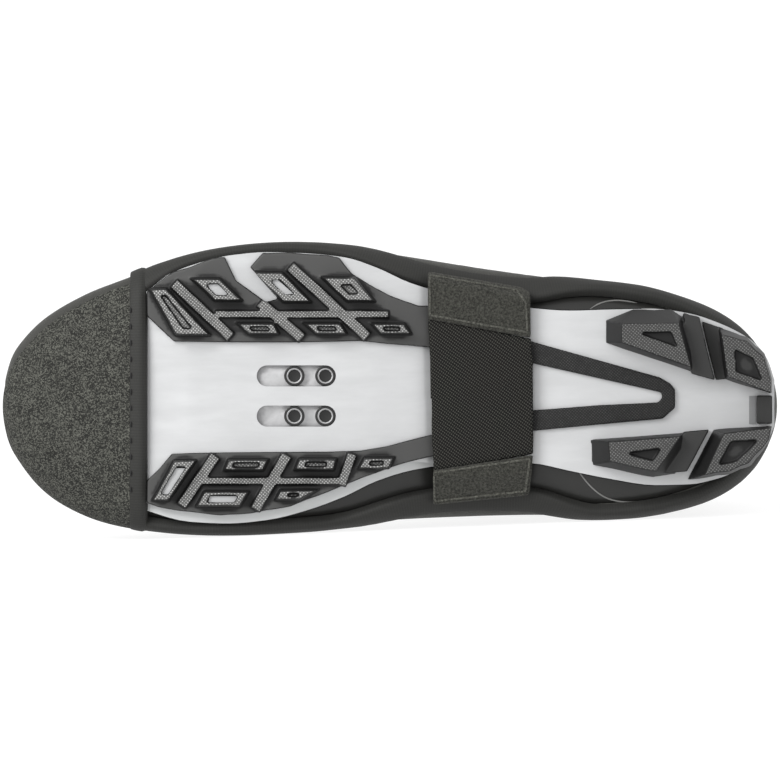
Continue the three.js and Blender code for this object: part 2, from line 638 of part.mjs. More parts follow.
function shoeUpper() {
  const hole = bar(
    stationsOf(SOLE_OUTLINE),
    (x) => soleLateral(x) + CLEARANCE,
    (x) => -soleMedial(x) - CLEARANCE,
    follow(-FAR),
    follow(soleTop + CLEARANCE),
  );
  return between(upperSkin, upperSkin - UPPER_WALL).intersect(collar).subtract(hole);
}

function insole() {
  const floor = soleTop + CLEARANCE;
  return form(upperSkin - UPPER_WALL - CLEARANCE).intersect(layer(floor, floor + INSOLE));
}

// Everything between two heights over the plate's line
function layer(low, high) {
  const stations = [-FAR, ...stationsOf(SOLE_OUTLINE), 2 * FAR];
  return bar(stations, () => FAR, () => -FAR, follow(low), follow(high));
}

const slotCentres = [-SLOT_SPACING / 2, SLOT_SPACING / 2];
const slotX = SLOT_CENTRE * LENGTH;
const slotReach = (SLOT_LENGTH - SLOT_WIDTH) / 2;

function soleLayer(low, high, medialStep) {
  return bar(
    stationsOf(SOLE_OUTLINE), soleLateral, (x) => medialStep(x) - soleMedial(x), follow(low), follow(high),
  ).intersect(soleSpace);
}

function nutPlateSpace(margin, low, high) {
  const width = SLOT_SPACING + SLOT_WIDTH + 2 * (NUT_PLATE_MARGIN + margin);
  const length = SLOT_LENGTH + 2 * (NUT_PLATE_MARGIN + margin);
  return toSolid(new THREE.BoxGeometry(length, width, high - low).translate(slotX, 0, (low + high) / 2));
}

function midsole() {
  const space = nutPlateSpace(CLEARANCE, 0, PLATE + NUT_PLATE + 3 * CLEARANCE);
  return soleLayer(PLATE + CLEARANCE, soleTop, () => 0).subtract(space);
}

// The plate's inner edge stops short, so that the midsole shows there as a light line
const medialTreadOuter = widthCurve(TREAD_MEDIAL, 'outer');
const medialTreadHeel = TREAD_MEDIAL[0].x * LENGTH;
const edgeLine = (x) => Math.max(soleMedial(x) - medialTreadOuter(x), 0) * Number(x > medialTreadHeel);

function slotShape(centreY) {
  const shape = new THREE.Shape();
  shape.absarc(slotX + slotReach, centreY, SLOT_WIDTH / 2, -Math.PI / 2, Math.PI / 2);
  shape.absarc(slotX - slotReach, centreY, SLOT_WIDTH / 2, Math.PI / 2, 1.5 * Math.PI);
  return shape;
}

function outsolePlate() {
  const plate = soleLayer(0, PLATE, edgeLine);
  const slots = slotCentres.map((y) => toSolid(
    new THREE.ExtrudeGeometry(slotShape(y), { depth: 2 * PLATE, bevelEnabled: false, curveSegments: 6 })
      .translate(0, 0, -PLATE / 2),
  ));
  return plate.subtract(join(slots));
}

function cleatNutPlate() {
  const base = nutPlateSpace(0, PLATE + CLEARANCE, PLATE + CLEARANCE + NUT_PLATE);
  const post = (radius, low, x, y) => toSolid(
    new THREE.CylinderGeometry(radius, radius, FAR, 12).rotateX(Math.PI / 2).translate(x, y, low + FAR / 2),
  );
  const places = slotCentres.flatMap((y) => [0, BOSS_SPACING].map((step) => [slotX - slotReach + step, y]));
  const slab = below(PLATE + CLEARANCE + NUT_PLATE);
  const bossRadius = SLOT_WIDTH / 2 - CLEARANCE;
  const bosses = places.map(([x, y]) => post(bossRadius, 2 * CLEARANCE, x, y).intersect(slab));
  const bores = places.map(([x, y]) => post(BOSS_BORE / 2, -PLATE, x, y));
  return base.add(join(bosses)).subtract(join(bores));
}

// Treads, built on a level plate and then seated on its line
const treadCore = -CLEARANCE - TREAD_BASE / 2;

function lugParts(lug, sign) {
  const outline = placed([
    { x: lug.outerToe, y: sign * lug.outer },
    { x: lug.outerHeel, y: sign * lug.outer },
    { x: lug.innerHeel, y: sign * lug.inner },
    { x: lug.innerToe, y: sign * lug.inner },
  ]);
  const [outerToe, outerHeel, innerHeel, innerToe] = outline;
  const inside = (along, across) => outerToe.clone().lerp(outerHeel, along)
    .lerp(innerToe.clone().lerp(innerHeel, along), across);
  const [toe, heel] = [0.5 - lug.along / 2, 0.5 + lug.along / 2];
  const [outer, inner] = [0.5 - lug.across / 2, 0.5 + lug.across / 2];
  const hollow = [inside(toe, outer), inside(heel, outer), inside(heel, inner), inside(toe, inner)];
  const foot = shrink(outline, -LUG_DRAFT / 2);
  const face = shrink(outline, LUG_DRAFT / 2);
  return {
    body: block(foot, face, treadCore, -LUG_HEIGHT),
    hollow: prism(hollow, -FAR, LUG_RECESS - LUG_HEIGHT),
  };
}

function ridge(row, sign) {
  const from = new THREE.Vector2(row.toeX * LENGTH, sign * row.toeY * BALL_WIDTH);
  const to = new THREE.Vector2(row.heelX * LENGTH, sign * row.heelY * BALL_WIDTH);
  const across = to.clone().sub(from).normalize().rotateAround(new THREE.Vector2(), Math.PI / 2);
  const outline = [[from, 1], [to, 1], [to, -1], [from, -1]].map(([point, side]) =>
    point.clone().addScaledVector(across, (side * row.width * RIDGE_WIDTH) / 2));
  return block(outline, shrink(outline, RIDGE_DRAFT), treadCore, -CLEARANCE - RIDGE_HEIGHT);
}

function forefootTread(rows, lugs, ridges, windows, sign) {
  const inner = widthCurve(rows, 'inner');
  const outer = widthCurve(rows, 'outer');
  const base = bar(
    stationsOf(rows),
    (x) => (sign > 0 ? outer(x) : -inner(x)),
    (x) => (sign > 0 ? inner(x) : -outer(x)),
    () => -CLEARANCE - TREAD_BASE,
    () => -CLEARANCE,
  );
  const parts = lugs.map((lug) => lugParts(lug, sign));
  const raised = join([base, ...parts.map((part) => part.body), ...ridges.map((row) => ridge(row, sign))]);
  const cut = [...parts.map((part) => part.hollow), ...windows.map((w) => prism(placed(w), -FAR, FAR))];
  return seat(raised.subtract(join(cut)));
}

function heelLug({ foot, face, hollow, step, ledge }) {
  const lug = block(placed(foot), placed(face), ARCH_RISE, -LUG_HEIGHT);
  const low = ARCH_RISE - ledge * (ARCH_RISE + LUG_HEIGHT);
  const steps = step.length ? [prism(placed(step), low, ARCH_RISE)] : [];
  const recess = prism(placed(hollow), -FAR, LUG_RECESS - LUG_HEIGHT);
  return join([lug, ...steps])
    .subtract(recess)
    .intersect(layer(-FAR, -CLEARANCE))
    .intersect(soleSpace);
}

function heelBumper() {
  const { toe, heel, lateral, medial } = HEEL_BUMPER;
  const outline = placed([
    { x: toe, y: lateral }, { x: heel, y: lateral }, { x: heel, y: -medial }, { x: toe, y: -medial },
  ]);
  return prism(outline, -FAR, FAR).intersect(layer(-CLEARANCE - HEEL_BUMPER_HEIGHT, -CLEARANCE));
}

function archInsert() {
  return layer(-CLEARANCE - ARCH_INSERT, -CLEARANCE)
    .intersect(prism(placed(ARCH_BAND_OUTER), -FAR, FAR))
    .subtract(prism(placed(ARCH_BAND_INNER), -FAR, FAR));
}

// Colour, roughness, metalness and density in grams per cubic centimetre
const MATERIALS = {
  neoprene: { color: 0x2a2a28, roughness: 0.9, metalness: 0, density: 0.35 },
  cap: { color: 0x3c3e3a, roughness: 0.95, metalness: 0, density: 0.9 },
  tape: { color: 0x1c1c1c, roughness: 0.7, metalness: 0, density: 0.9 },
  elastic: { color: 0x242424, roughness: 0.85, metalness: 0, density: 0.8 },
  tab: { color: 0x3a3a36, roughness: 0.95, metalness: 0, density: 0.6 },
  leather: { color: 0x101010, roughness: 0.25, metalness: 0, density: 0.9 },
  foam: { color: 0x4a4a4a, roughness: 0.9, metalness: 0, density: 0.3 },
  midsole: { color: 0xa8aaac, roughness: 0.5, metalness: 0, density: 1 },
  plate: { color: 0xc6c9cc, roughness: 0.35, metalness: 0.4, density: 1.3 },
  steel: { color: 0x77787a, roughness: 0.4, metalness: 1, density: 7.8 },
  rubber: { color: 0x1b1c1d, roughness: 0.6, metalness: 0, density: 1.15 },
};

function mesh(name, solid, kind) {
  const { color, roughness, metalness, density } = MATERIALS[kind];
  const material = new THREE.MeshStandardMaterial({ color, roughness, metalness });
  const made = new THREE.Mesh(toGeometry(solid), material);
  made.name = name;
  made.userData.mass = solid.volume() * density;
  return made;
}

const shoe = new THREE.Group();
shoe.add(mesh('overshoe_shell', overshoeShell(), 'neoprene'));
shoe.add(mesh('toe_cap', toeCap(), 'cap'));
shoe.add(mesh('hem_binding', hemBinding(), 'tape'));
shoe.add(mesh('cuff_binding', cuffBinding(), 'tape'));
shoe.add(mesh('strap_elastic', strapPart(ELASTIC_OUTLINE, STRAP_WEBBING), 'elastic'));
shoe.add(mesh('strap_tab_lateral', strapPart(TAB_LATERAL_OUTLINE, STRAP_TAB), 'tab'));
shoe.add(mesh('strap_tab_medial', strapPart(TAB_MEDIAL_OUTLINE, STRAP_TAB), 'tab'));
shoe.add(mesh('shoe_upper', shoeUpper(), 'leather'));
shoe.add(mesh('insole', insole(), 'foam'));
shoe.add(mesh('midsole', midsole(), 'midsole'));
shoe.add(mesh('outsole_plate', outsolePlate(), 'plate'));
shoe.add(mesh('cleat_nut_plate', cleatNutPlate(), 'steel'));
shoe.add(mesh('forefoot_tread_lateral',
  forefootTread(TREAD_LATERAL, LUGS_LATERAL, RIDGES_LATERAL, [WINDOW_TOE, WINDOW_WAIST], 1), 'rubber'));
shoe.add(mesh('forefoot_tread_medial',
  forefootTread(TREAD_MEDIAL, LUGS_MEDIAL, RIDGES_MEDIAL, [], -1), 'rubber'));
shoe.add(mesh('arch_insert', archInsert(), 'rubber'));
Object.entries(HEEL_LUGS).forEach(([name, lug]) => shoe.add(mesh(name, heelLug(lug), 'rubber')));
shoe.add(mesh('heel_bumper', heelBumper(), 'rubber'));

// The shoe lies on the flat of its inner side: of the faces that a board laid against that side could
// rest on, the one nearest to the centre of mass. Its long axis is level and its toe points to -X.
function layOnInnerSide(group) {
  const points = [];
  const balance = new THREE.Vector3();
  let mass = 0;
  group.children.forEach((child) => {
    const { position } = child.geometry.attributes;
    const centre = new THREE.Vector3();
    for (let i = 0; i < position.count; i += 1) {
      const point = new THREE.Vector3().fromBufferAttribute(position, i);
      points.push(point);
      centre.add(point);
    }
    balance.addScaledVector(centre, child.userData.mass / position.count);
    mass += child.userData.mass;
  });
  balance.divideScalar(mass);
  const innerSide = new THREE.Vector3(0, -1, 0);
  const hull = new ConvexHull().setFromPoints(points);
  const faces = hull.faces.filter((face) => face.normal.dot(innerSide) > Math.cos(Math.PI / 6));
  const distance = (face) => -face.distanceToPoint(balance);
  const rest = faces.reduce((best, face) => (distance(face) < distance(best) ? face : best));
  const up = rest.normal.clone().negate();
  const heelward = new THREE.Vector3(-1, 0, 0).addScaledVector(up, up.x).normalize();
  const back = up.clone().cross(heelward);
  const turn = new THREE.Matrix4().makeBasis(heelward, back, up).transpose();
  group.applyMatrix4(turn);
  group.updateMatrixWorld(true);
  const box = new THREE.Box3().setFromObject(group, true);
  const centre = box.getCenter(new THREE.Vector3());
  group.position.sub(new THREE.Vector3(centre.x, centre.y, box.min.z));
  group.updateMatrixWorld(true);
}

layOnInnerSide(shoe);

export default shoe;
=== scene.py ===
"""The looks of a worn cycling overshoe on its shoe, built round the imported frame.

Every piece is modelled standing on its sole, in millimetres: x runs from the heel to the toe, y to
the outer side of the foot and z up from the plate. settle() then lays it down with the frame.
"""

import math

import bmesh
import bpy
import numpy as np
from mathutils import Matrix, Vector
from mathutils.bvhtree import BVHTree
from mathutils.interpolate import poly_3d_calc


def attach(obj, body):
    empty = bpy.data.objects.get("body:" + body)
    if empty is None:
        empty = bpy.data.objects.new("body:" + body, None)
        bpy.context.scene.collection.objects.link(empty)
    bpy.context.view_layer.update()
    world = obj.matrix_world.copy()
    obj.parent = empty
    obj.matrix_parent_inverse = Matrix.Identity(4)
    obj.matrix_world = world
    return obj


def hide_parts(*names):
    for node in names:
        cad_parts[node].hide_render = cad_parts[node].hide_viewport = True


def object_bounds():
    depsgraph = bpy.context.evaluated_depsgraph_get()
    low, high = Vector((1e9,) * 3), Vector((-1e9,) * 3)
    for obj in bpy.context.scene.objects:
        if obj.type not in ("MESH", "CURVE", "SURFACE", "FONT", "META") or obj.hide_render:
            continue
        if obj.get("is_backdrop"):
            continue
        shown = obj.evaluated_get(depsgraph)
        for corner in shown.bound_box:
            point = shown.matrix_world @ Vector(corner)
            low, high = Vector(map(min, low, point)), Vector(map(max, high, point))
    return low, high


bl_info = {
    "name": "Cycling overshoe",
    "version": (1, 0, 0),
    "blender": (4, 5, 0),
    "location": "3D View > Sidebar > Overshoe",
    "description": "Builds a neoprene cycling overshoe on its off-road shoe",
    "category": "Object",
}

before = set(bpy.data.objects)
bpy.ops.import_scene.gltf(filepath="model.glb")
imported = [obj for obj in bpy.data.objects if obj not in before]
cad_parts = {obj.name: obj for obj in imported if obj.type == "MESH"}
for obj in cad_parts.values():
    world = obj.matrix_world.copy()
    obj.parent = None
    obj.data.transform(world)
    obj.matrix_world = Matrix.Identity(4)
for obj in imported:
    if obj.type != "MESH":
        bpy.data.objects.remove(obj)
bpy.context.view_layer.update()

# The standing shoe, laid down on its inner side
LYING = Matrix.Scale(0.001, 4) @ Matrix((
    (-0.99927, 0.03819, -0.00184, 140.70932),
    (0.0, 0.04816, 0.99884, -67.30406),
    (0.03823, 0.99811, -0.04812, 42.82215),
    (0.0, 0.0, 0.0, 1.0),
))
STANDING = LYING.inverted()
SOLE_NORMAL = (0.00184, -0.99884, 0.04812)

# Driving sizes, in millimetres
LENGTH = 280.0
BALL_WIDTH = 105.5
INSTEP_HEIGHT = 89.0
CUFF_HEIGHT = 143.0
ARCH_RISE = 8.0
TOE_SPRING = 20.0
SOLE_TOP = 8.0
WELT_STEP = 0.7
TOE_HEM_WIDTH = 6.0
COLLAR_BACK = 58.0
COLLAR_SLOPE = 17.0
LUG_HEIGHT = 8.0
LUG_FLOOR = 6.0
BOSS_RADIUS = 3.72
BOSS_HEIGHT = 2.2
BOSS_MIDDLE = 1.55
BORE_RADIUS = 2.5
BORE_DEPTH = 1.9
LIP_RADIUS = 0.15
LIP_MIDDLE = 0.42
BOSS_PLACES = (163.8, 175.0)
SLOT_OFFSET = 7.25
CLEARANCE = 0.3
NEOPRENE = 3.0
CAP_EDGE_STATION = 0.905
CAP_EDGE_HEIGHT = 18.0
CAP_CLIMB = 0.2
STITCH_PITCH = 5.2
STITCH_RADIUS = 0.36
BORDER_RADIUS = 0.4
# Radius of the raised beads painted light grey along the upper's overlay edges as highlights
EDGE_HIGHLIGHT_RADIUS = 0.3
TOOL_BOTTOM = -60.0
BELOW_ALL = -100.0

# Places measured on the photo: millimetres to the pixel, and the pixel of the heel's end on the axis
PHOTO_PIXEL = 0.3613
PHOTO_HEEL = (779, 396)

# How wide the picture is at the part in metres, then the lens and its sensor in millimetres
VIEW_WIDTH = 0.2818
CAMERA_LENS = 1200
CAMERA_SENSOR = 36

# The underside of the plate: share of LENGTH, share of ARCH_RISE, share of TOE_SPRING
PLATE_LINE = [
    (-0.02, 1.0, 0), (0.0, 0.9, 0), (0.07, 0.68, 0), (0.21, 0.62, 0), (0.29, 0.82, 0), (0.36, 1.0, 0),
    (0.41, 0.84, 0), (0.465, 0.34, 0), (0.51, 0.05, 0), (0.54, 0, 0), (0.73, 0, 0), (0.78, 0, 0.05),
    (0.83, 0, 0.16), (0.88, 0, 0.35), (0.93, 0, 0.6), (0.975, 0, 0.86), (1.0, 0, 1.0), (1.02, 0, 1.1),
]

# The overshoe's form from the toe to above the cuff: back, lift, front, rise, half, swing, widest,
# square, crown, as in the part
FORM_RINGS = [
    (0.9995, 0.105, 0.9995, 0.345, 0.04, -0.007, 0.5, 2, 2),
    (0.998, 0.085, 0.998, 0.37, 0.075, -0.008, 0.5, 2, 2),
    (0.99, 0.045, 0.99, 0.44, 0.148, -0.012, 0.46, 2, 2),
    (0.977, 0.02, 0.977, 0.495, 0.204, -0.015, 0.42, 2.1, 2),
    (0.955, 0.006, 0.955, 0.545, 0.272, -0.022, 0.36, 2.3, 2.1),
    (0.928, 0, 0.928, 0.58, 0.327, -0.026, 0.32, 2.5, 2.2),
    (0.89, 0, 0.89, 0.615, 0.379, -0.025, 0.29, 2.7, 2.25),
    (0.85, 0, 0.85, 0.645, 0.415, -0.02, 0.26, 2.9, 2.25),
    (0.8, 0, 0.8, 0.685, 0.449, -0.006, 0.23, 3, 2.2),
    (0.75, 0, 0.75, 0.725, 0.473, 0.008, 0.21, 3, 2.1),
    (0.7, 0, 0.7, 0.775, 0.485, 0.019, 0.2, 3, 2),
    (0.65, 0, 0.65, 0.835, 0.488, 0.027, 0.2, 3, 1.9),
    (0.6, 0, 0.6, 0.905, 0.484, 0.031, 0.2, 2.9, 1.85),
    (0.55, 0, 0.552, 0.98, 0.473, 0.033, 0.2, 2.8, 1.8),
    (0.505, 0, 0.515, 1.075, 0.458, 0.031, 0.21, 2.6, 1.8),
    (0.46, 0, 0.487, 1.17, 0.446, 0.026, 0.21, 2.5, 1.8),
    (0.41, 0, 0.465, 1.265, 0.434, 0.019, 0.2, 2.4, 1.85),
    (0.345, 0, 0.449, 1.345, 0.42, 0.01, 0.19, 2.4, 1.9),
    (0.275, 0, 0.437, 1.415, 0.408, 0, 0.18, 2.5, 1.9),
    (0.205, 0, 0.428, 1.475, 0.402, -0.013, 0.18, 2.6, 1.9),
    (0.13, 0.004, 0.42, 1.53, 0.389, -0.019, 0.2, 2.6, 1.9),
    (0.062, 0.03, 0.414, 1.58, 0.362, -0.026, 0.25, 2.5, 1.95),
    (0.02, 0.105, 0.409, 1.625, 0.35, -0.03, 0.31, 2.3, 2),
    (0.004, 0.25, 0.405, 1.67, 0.35, -0.034, 0.37, 2.1, 2),
    (0.001, 0.43, 0.401, 1.715, 0.356, -0.032, 0.42, 2, 2),
    (0.007, 0.65, 0.397, 1.77, 0.349, -0.03, 0.46, 2, 2),
    (0.02, 0.9, 0.392, 1.83, 0.341, -0.024, 0.48, 2, 2),
    (0.035, 1.25, 0.387, 1.9, 0.335, -0.018, 0.49, 2, 2),
    (0.047, 1.62, 0.383, 1.97, 0.33, -0.013, 0.5, 2, 2),
    (0.055, 1.98, 0.38, 2.08, 0.327, -0.01, 0.5, 2, 2),
    (0.059, 2.25, 0.378, 2.26, 0.325, -0.008, 0.5, 2, 2),
]

# The sole's outline and the opening in the overshoe: share of LENGTH, then shares of BALL_WIDTH to the
# outer and the inner side
SOLE_OUTLINE = [
    (0.006, 0.055, 0.1), (0.015, 0.125, 0.16), (0.03, 0.178, 0.212), (0.05, 0.215, 0.25),
    (0.08, 0.252, 0.283), (0.115, 0.282, 0.302), (0.16, 0.298, 0.305), (0.215, 0.296, 0.285),
    (0.27, 0.292, 0.256), (0.32, 0.301, 0.23), (0.375, 0.322, 0.226), (0.43, 0.352, 0.236),
    (0.475, 0.386, 0.255), (0.52, 0.44, 0.292), (0.56, 0.474, 0.343), (0.61, 0.488, 0.392),
    (0.66, 0.492, 0.424), (0.71, 0.48, 0.436), (0.76, 0.445, 0.43), (0.815, 0.38, 0.392),
    (0.87, 0.305, 0.33), (0.92, 0.22, 0.26), (0.95, 0.14, 0.185),
]
OPENING = [
    (-0.01, 0.2, 0.24), (0.03, 0.25, 0.295), (0.06, 0.29, 0.335), (0.1, 0.315, 0.37),
    (0.14, 0.328, 0.392), (0.18, 0.345, 0.401), (0.23, 0.363, 0.397), (0.27, 0.356, 0.367),
    (0.32, 0.326, 0.321), (0.385, 0.34, 0.315), (0.455, 0.378, 0.33), (0.49, 0.408, 0.352),
    (0.53, 0.455, 0.39), (0.57, 0.485, 0.423), (0.61, 0.499, 0.435), (0.65, 0.502, 0.442),
    (0.7, 0.49, 0.446), (0.76, 0.453, 0.449), (0.79, 0.412, 0.444), (0.817, 0.357, 0.43),
]
OPENING_END = OPENING[-1][0] * LENGTH

# Soft ridges and troughs in the neoprene: start and end as (share of LENGTH, share of BALL_WIDTH,
# share of CUFF_HEIGHT), then height and width in millimetres
CREASES = [
    ((0.47, 0.3, 0.62), (0.3, 0.44, 0.42), 1.7, 7.0),
    ((0.5, -0.28, 0.6), (0.31, -0.44, 0.4), 1.6, 7.0),
    ((0.47, 0.0, 0.83), (0.36, 0.38, 0.66), 1.4, 6.0),
    ((0.47, 0.0, 0.83), (0.36, -0.38, 0.66), 1.4, 6.0),
    ((0.43, 0.05, 0.93), (0.2, 0.4, 0.8), 1.0, 7.0),
    ((0.43, -0.05, 0.93), (0.22, -0.4, 0.78), 1.1, 7.0),
    ((0.06, 0.12, 0.62), (0.26, 0.42, 0.5), 1.3, 7.0),
    ((0.06, -0.16, 0.6), (0.24, -0.44, 0.5), 1.2, 7.0),
    ((0.08, 0.1, 0.8), (0.22, 0.38, 0.7), -0.8, 6.0),
    ((0.08, -0.12, 0.82), (0.2, -0.38, 0.72), -0.8, 6.0),
    ((0.62, 0.36, 0.4), (0.76, 0.05, 0.44), 0.8, 9.0),
    ((0.6, -0.3, 0.42), (0.74, -0.02, 0.45), 0.8, 9.0),
]


# Reading the tables

def through(rows, column):
    """A smooth curve through a table's rows that never overshoots them, by place along the shoe."""
    x = np.array([row[0] for row in rows], float)
    y = np.array([row[column] for row in rows], float)
    slopes = np.diff(y) / np.diff(x)
    before = np.concatenate((slopes[:1], slopes))
    after = np.concatenate((slopes, slopes[-1:]))
    same_way = before * after > 0
    tangents = np.where(same_way, 2 * before * after / np.where(same_way, before + after, 1), 0)

    def at(place):
        share = np.clip(np.asarray(place, float) / LENGTH, x[0], x[-1])
        i = np.clip(np.searchsorted(x, share), 1, len(x) - 1)
        span = x[i] - x[i - 1]
        t = (share - x[i - 1]) / span
        start = (1 + 2 * t) * (1 - t) ** 2
        bend = t * (1 - t) ** 2 * span * tangents[i - 1] - t * t * (1 - t) * span * tangents[i]
        return y[i - 1] * start + y[i] * (1 - start) + bend

    return at


arch_at = through(PLATE_LINE, 1)
toe_at = through(PLATE_LINE, 2)
sole_lateral = through(SOLE_OUTLINE, 1)
sole_medial = through(SOLE_OUTLINE, 2)
opening_lateral = through(OPENING, 1)
opening_medial = through(OPENING, 2)


def plate_line(x):
    """Height of the plate's underside at a place along the shoe."""
    return ARCH_RISE * arch_at(x) + TOE_SPRING * toe_at(x)


def height_of(share):
    """A height given as a share of the instep, and past 1 from the instep to the cuff."""
    return INSTEP_HEIGHT * min(share, 1) + (CUFF_HEIGHT - INSTEP_HEIGHT) * max(share - 1, 0)


def last_grid(steps, columns):
    """Points and outward directions of the overshoe's form, in rows from the toe to the cuff.

    A row starts under the foot and runs round the outer side, the top and the inner side."""
    table = np.array(FORM_RINGS, float)
    padded = np.vstack((2 * table[0] - table[1], table, 2 * table[-1] - table[-2]))
    rings = []
    for i in range(len(table) - 1):
        a, b, c, d = padded[i:i + 4]
        for t in np.arange(steps) / steps:
            cubic = (3 * b - a - 3 * c + d) * t ** 3
            rings.append(0.5 * (2 * b + (c - a) * t + (2 * a - 5 * b + 4 * c - d) * t * t + cubic))
    rings.append(table[-1])
    angle = np.linspace(math.pi, 3 * math.pi, 1441)
    up = np.cos(angle)
    side = -np.sin(angle)
    points = []
    for back, lift, front, rise, half, swing, widest, square, crown in rings:
        under = float(plate_line(back * LENGTH)) - NEOPRENE - CLEARANCE
        under += WELT_STEP * min(max((OPENING_END - back * LENGTH) / 4 + 0.5, 0), 1)
        bottom = np.array((back * LENGTH, 0, under + height_of(lift)))
        top = np.array((front * LENGTH, 0, height_of(rise)))
        power = 2 / np.where(up > 0, crown, square)
        height = np.sign(up) * np.abs(up) ** power * np.where(up > 0, 1 - widest, widest) + widest
        ring = bottom + height[:, None] * (top - bottom)
        ring[:, 1] = (np.sign(side) * np.abs(side) ** power * half + swing) * BALL_WIDTH
        run = np.concatenate(([0], np.cumsum(np.linalg.norm(np.diff(ring, axis=0), axis=1))))
        even = np.linspace(0, run[-1], columns + 1)[:-1]
        points.append(np.stack([np.interp(even, run, ring[:, k]) for k in range(3)], axis=1))
    points = np.array(points)
    along = np.gradient(points, axis=0)
    around = np.roll(points, -1, axis=1) - np.roll(points, 1, axis=1)
    normals = np.cross(along, around)
    normals /= np.linalg.norm(normals, axis=2, keepdims=True)
    outward = points - points.mean(axis=1, keepdims=True)
    if (normals * outward).sum() < 0:
        normals = -normals
    return points, normals


def crease(points):
    """How far the neoprene stands out of its form at these points."""
    out = np.zeros(points.shape[:-1])
    scale = np.array((LENGTH, BALL_WIDTH, CUFF_HEIGHT))
    for start, end, height, width in CREASES:
        a = np.array(start) * scale
        b = np.array(end) * scale
        line = b - a
        t = np.clip(((points - a) @ line) / (line @ line), 0, 1)
        away = np.linalg.norm(points - a - t[..., None] * line, axis=-1)
        out += height * np.exp(-(away / width) ** 2) * np.sin(np.pi * (0.15 + 0.7 * t))
    return out


LAST, LAST_OUTWARD = last_grid(4, 120)
ROWS, COLUMNS = LAST.shape[:2]
LAST_FACES = [
    (k * COLUMNS + i, k * COLUMNS + (i + 1) % COLUMNS, (k + 1) * COLUMNS + (i + 1) % COLUMNS,
     (k + 1) * COLUMNS + i)
    for k in range(ROWS - 1)
    for i in range(COLUMNS)
]
LAST_POINTS = [Vector(p) for p in LAST.reshape(-1, 3)]
LAST_NORMALS = [Vector(n) for n in LAST_OUTWARD.reshape(-1, 3)]
LAST_TREE = BVHTree.FromPolygons(LAST_POINTS, LAST_FACES)


def facing(spot, face):
    """The form's smooth outward direction at a spot on one of its faces."""
    corners = LAST_FACES[face]
    weights = poly_3d_calc([LAST_POINTS[i] for i in corners], spot)
    return sum((LAST_NORMALS[i] * w for i, w in zip(corners, weights)), Vector()).normalized()


def on_last(point):
    """The form's nearest spot to a point, and its outward direction there."""
    spot, _, face, _ = LAST_TREE.find_nearest(point)
    return spot, facing(spot, face)


def from_below(x, y):
    """The spot on the form's underside at a place seen from below."""
    spot, _, face, _ = LAST_TREE.ray_cast(Vector((x, y, BELOW_ALL)), Vector((0, 0, 1)))
    return spot and (spot, facing(spot, face))


def walk(spot, heading, distances):
    """Spots on the form at rising distances from one, setting out along heading."""
    found = []
    gone = 0.0
    spot, normal = on_last(spot)
    for distance in distances:
        while distance - gone > 1e-6:
            step = min(1.0, distance - gone)
            heading = (heading - normal * heading.dot(normal)).normalized()
            spot, normal = on_last(spot + heading * step)
            gone += step
        found.append((spot.copy(), normal.copy()))
    return found


# Modelling

def only(piece):
    """Selects one object and nothing else."""
    bpy.ops.object.select_all(action="DESELECT")
    piece.select_set(True)
    bpy.context.view_layer.objects.active = piece


def added(primitive, **settings):
    """A new mesh from one of the primitive tools, with nothing else selected."""
    bpy.ops.object.select_all(action="DESELECT")
    primitive(**settings)
    return bpy.context.object


def linked(name, mesh):
    """A new piece from a mesh."""
    piece = bpy.data.objects.new(name, mesh)
    bpy.context.scene.collection.objects.link(piece)
    return piece


def edited(piece, tool, **settings):
    """Runs a mesh tool on the whole of a piece."""
    only(piece)
    bpy.ops.object.mode_set(mode="EDIT")
    bpy.ops.mesh.select_all(action="SELECT")
    tool(**settings)
    bpy.ops.object.mode_set(mode="OBJECT")


def finish_with(piece, kind, **settings):
    """Adds a modifier to a piece and applies it."""
    modifier = piece.modifiers.new(kind, kind)
    for name, value in settings.items():
        setattr(modifier, name, value)
    only(piece)
    bpy.ops.object.modifier_apply(modifier=modifier.name)


def closed_up(piece):
    """Merges a piece's doubles, closes its open ends and turns its faces outwards."""
    only(piece)
    bpy.ops.object.mode_set(mode="EDIT")
    bpy.ops.mesh.select_all(action="SELECT")
    bpy.ops.mesh.remove_doubles(threshold=1e-4)
    bpy.ops.mesh.select_all(action="DESELECT")
    bpy.ops.mesh.select_non_manifold()
    bpy.ops.mesh.fill_holes(sides=0)
    bpy.ops.mesh.select_all(action="SELECT")
    bpy.ops.mesh.normals_make_consistent(inside=False)
    bpy.ops.object.mode_set(mode="OBJECT")


def set_places(piece, places):
    """Moves a piece's vertices."""
    piece.data.vertices.foreach_set("co", np.asarray(places, np.float32).ravel())
    piece.data.update()


def places_of(piece):
    """Where a piece's vertices are."""
    flat = np.empty(3 * len(piece.data.vertices), np.float32)
    piece.data.vertices.foreach_get("co", flat)
    return flat.reshape(-1, 3).astype(float)


def moulded_grid(name, places):
    """A grid whose vertices go to places, an array of rows by columns. Its UV map is in millimetres."""
    places = np.array([[tuple(place) for place in row] for row in places], float)
    rows = places.shape[0] - 1
    columns = places.shape[1] - 1
    piece = added(bpy.ops.mesh.primitive_grid_add, x_subdivisions=rows, y_subdivisions=columns, size=2)
    piece.name = name
    flat = places_of(piece)
    i = np.rint((flat[:, 0] + 1) / 2 * rows).astype(int)
    j = np.rint((flat[:, 1] + 1) / 2 * columns).astype(int)
    set_places(piece, places[i, j])
    along = np.linalg.norm(np.diff(places, axis=0), axis=2).max(axis=1)
    across = np.linalg.norm(np.diff(places, axis=1), axis=2).max(axis=0)
    u = np.concatenate(([0], np.cumsum(along)))[i]
    v = np.concatenate(([0], np.cumsum(across)))[j]
    corners = np.empty(len(piece.data.loops), np.int32)
    piece.data.loops.foreach_get("vertex_index", corners)
    piece.data.uv_layers[0].data.foreach_set("uv", np.stack((u, v), axis=1)[corners].ravel())
    return piece


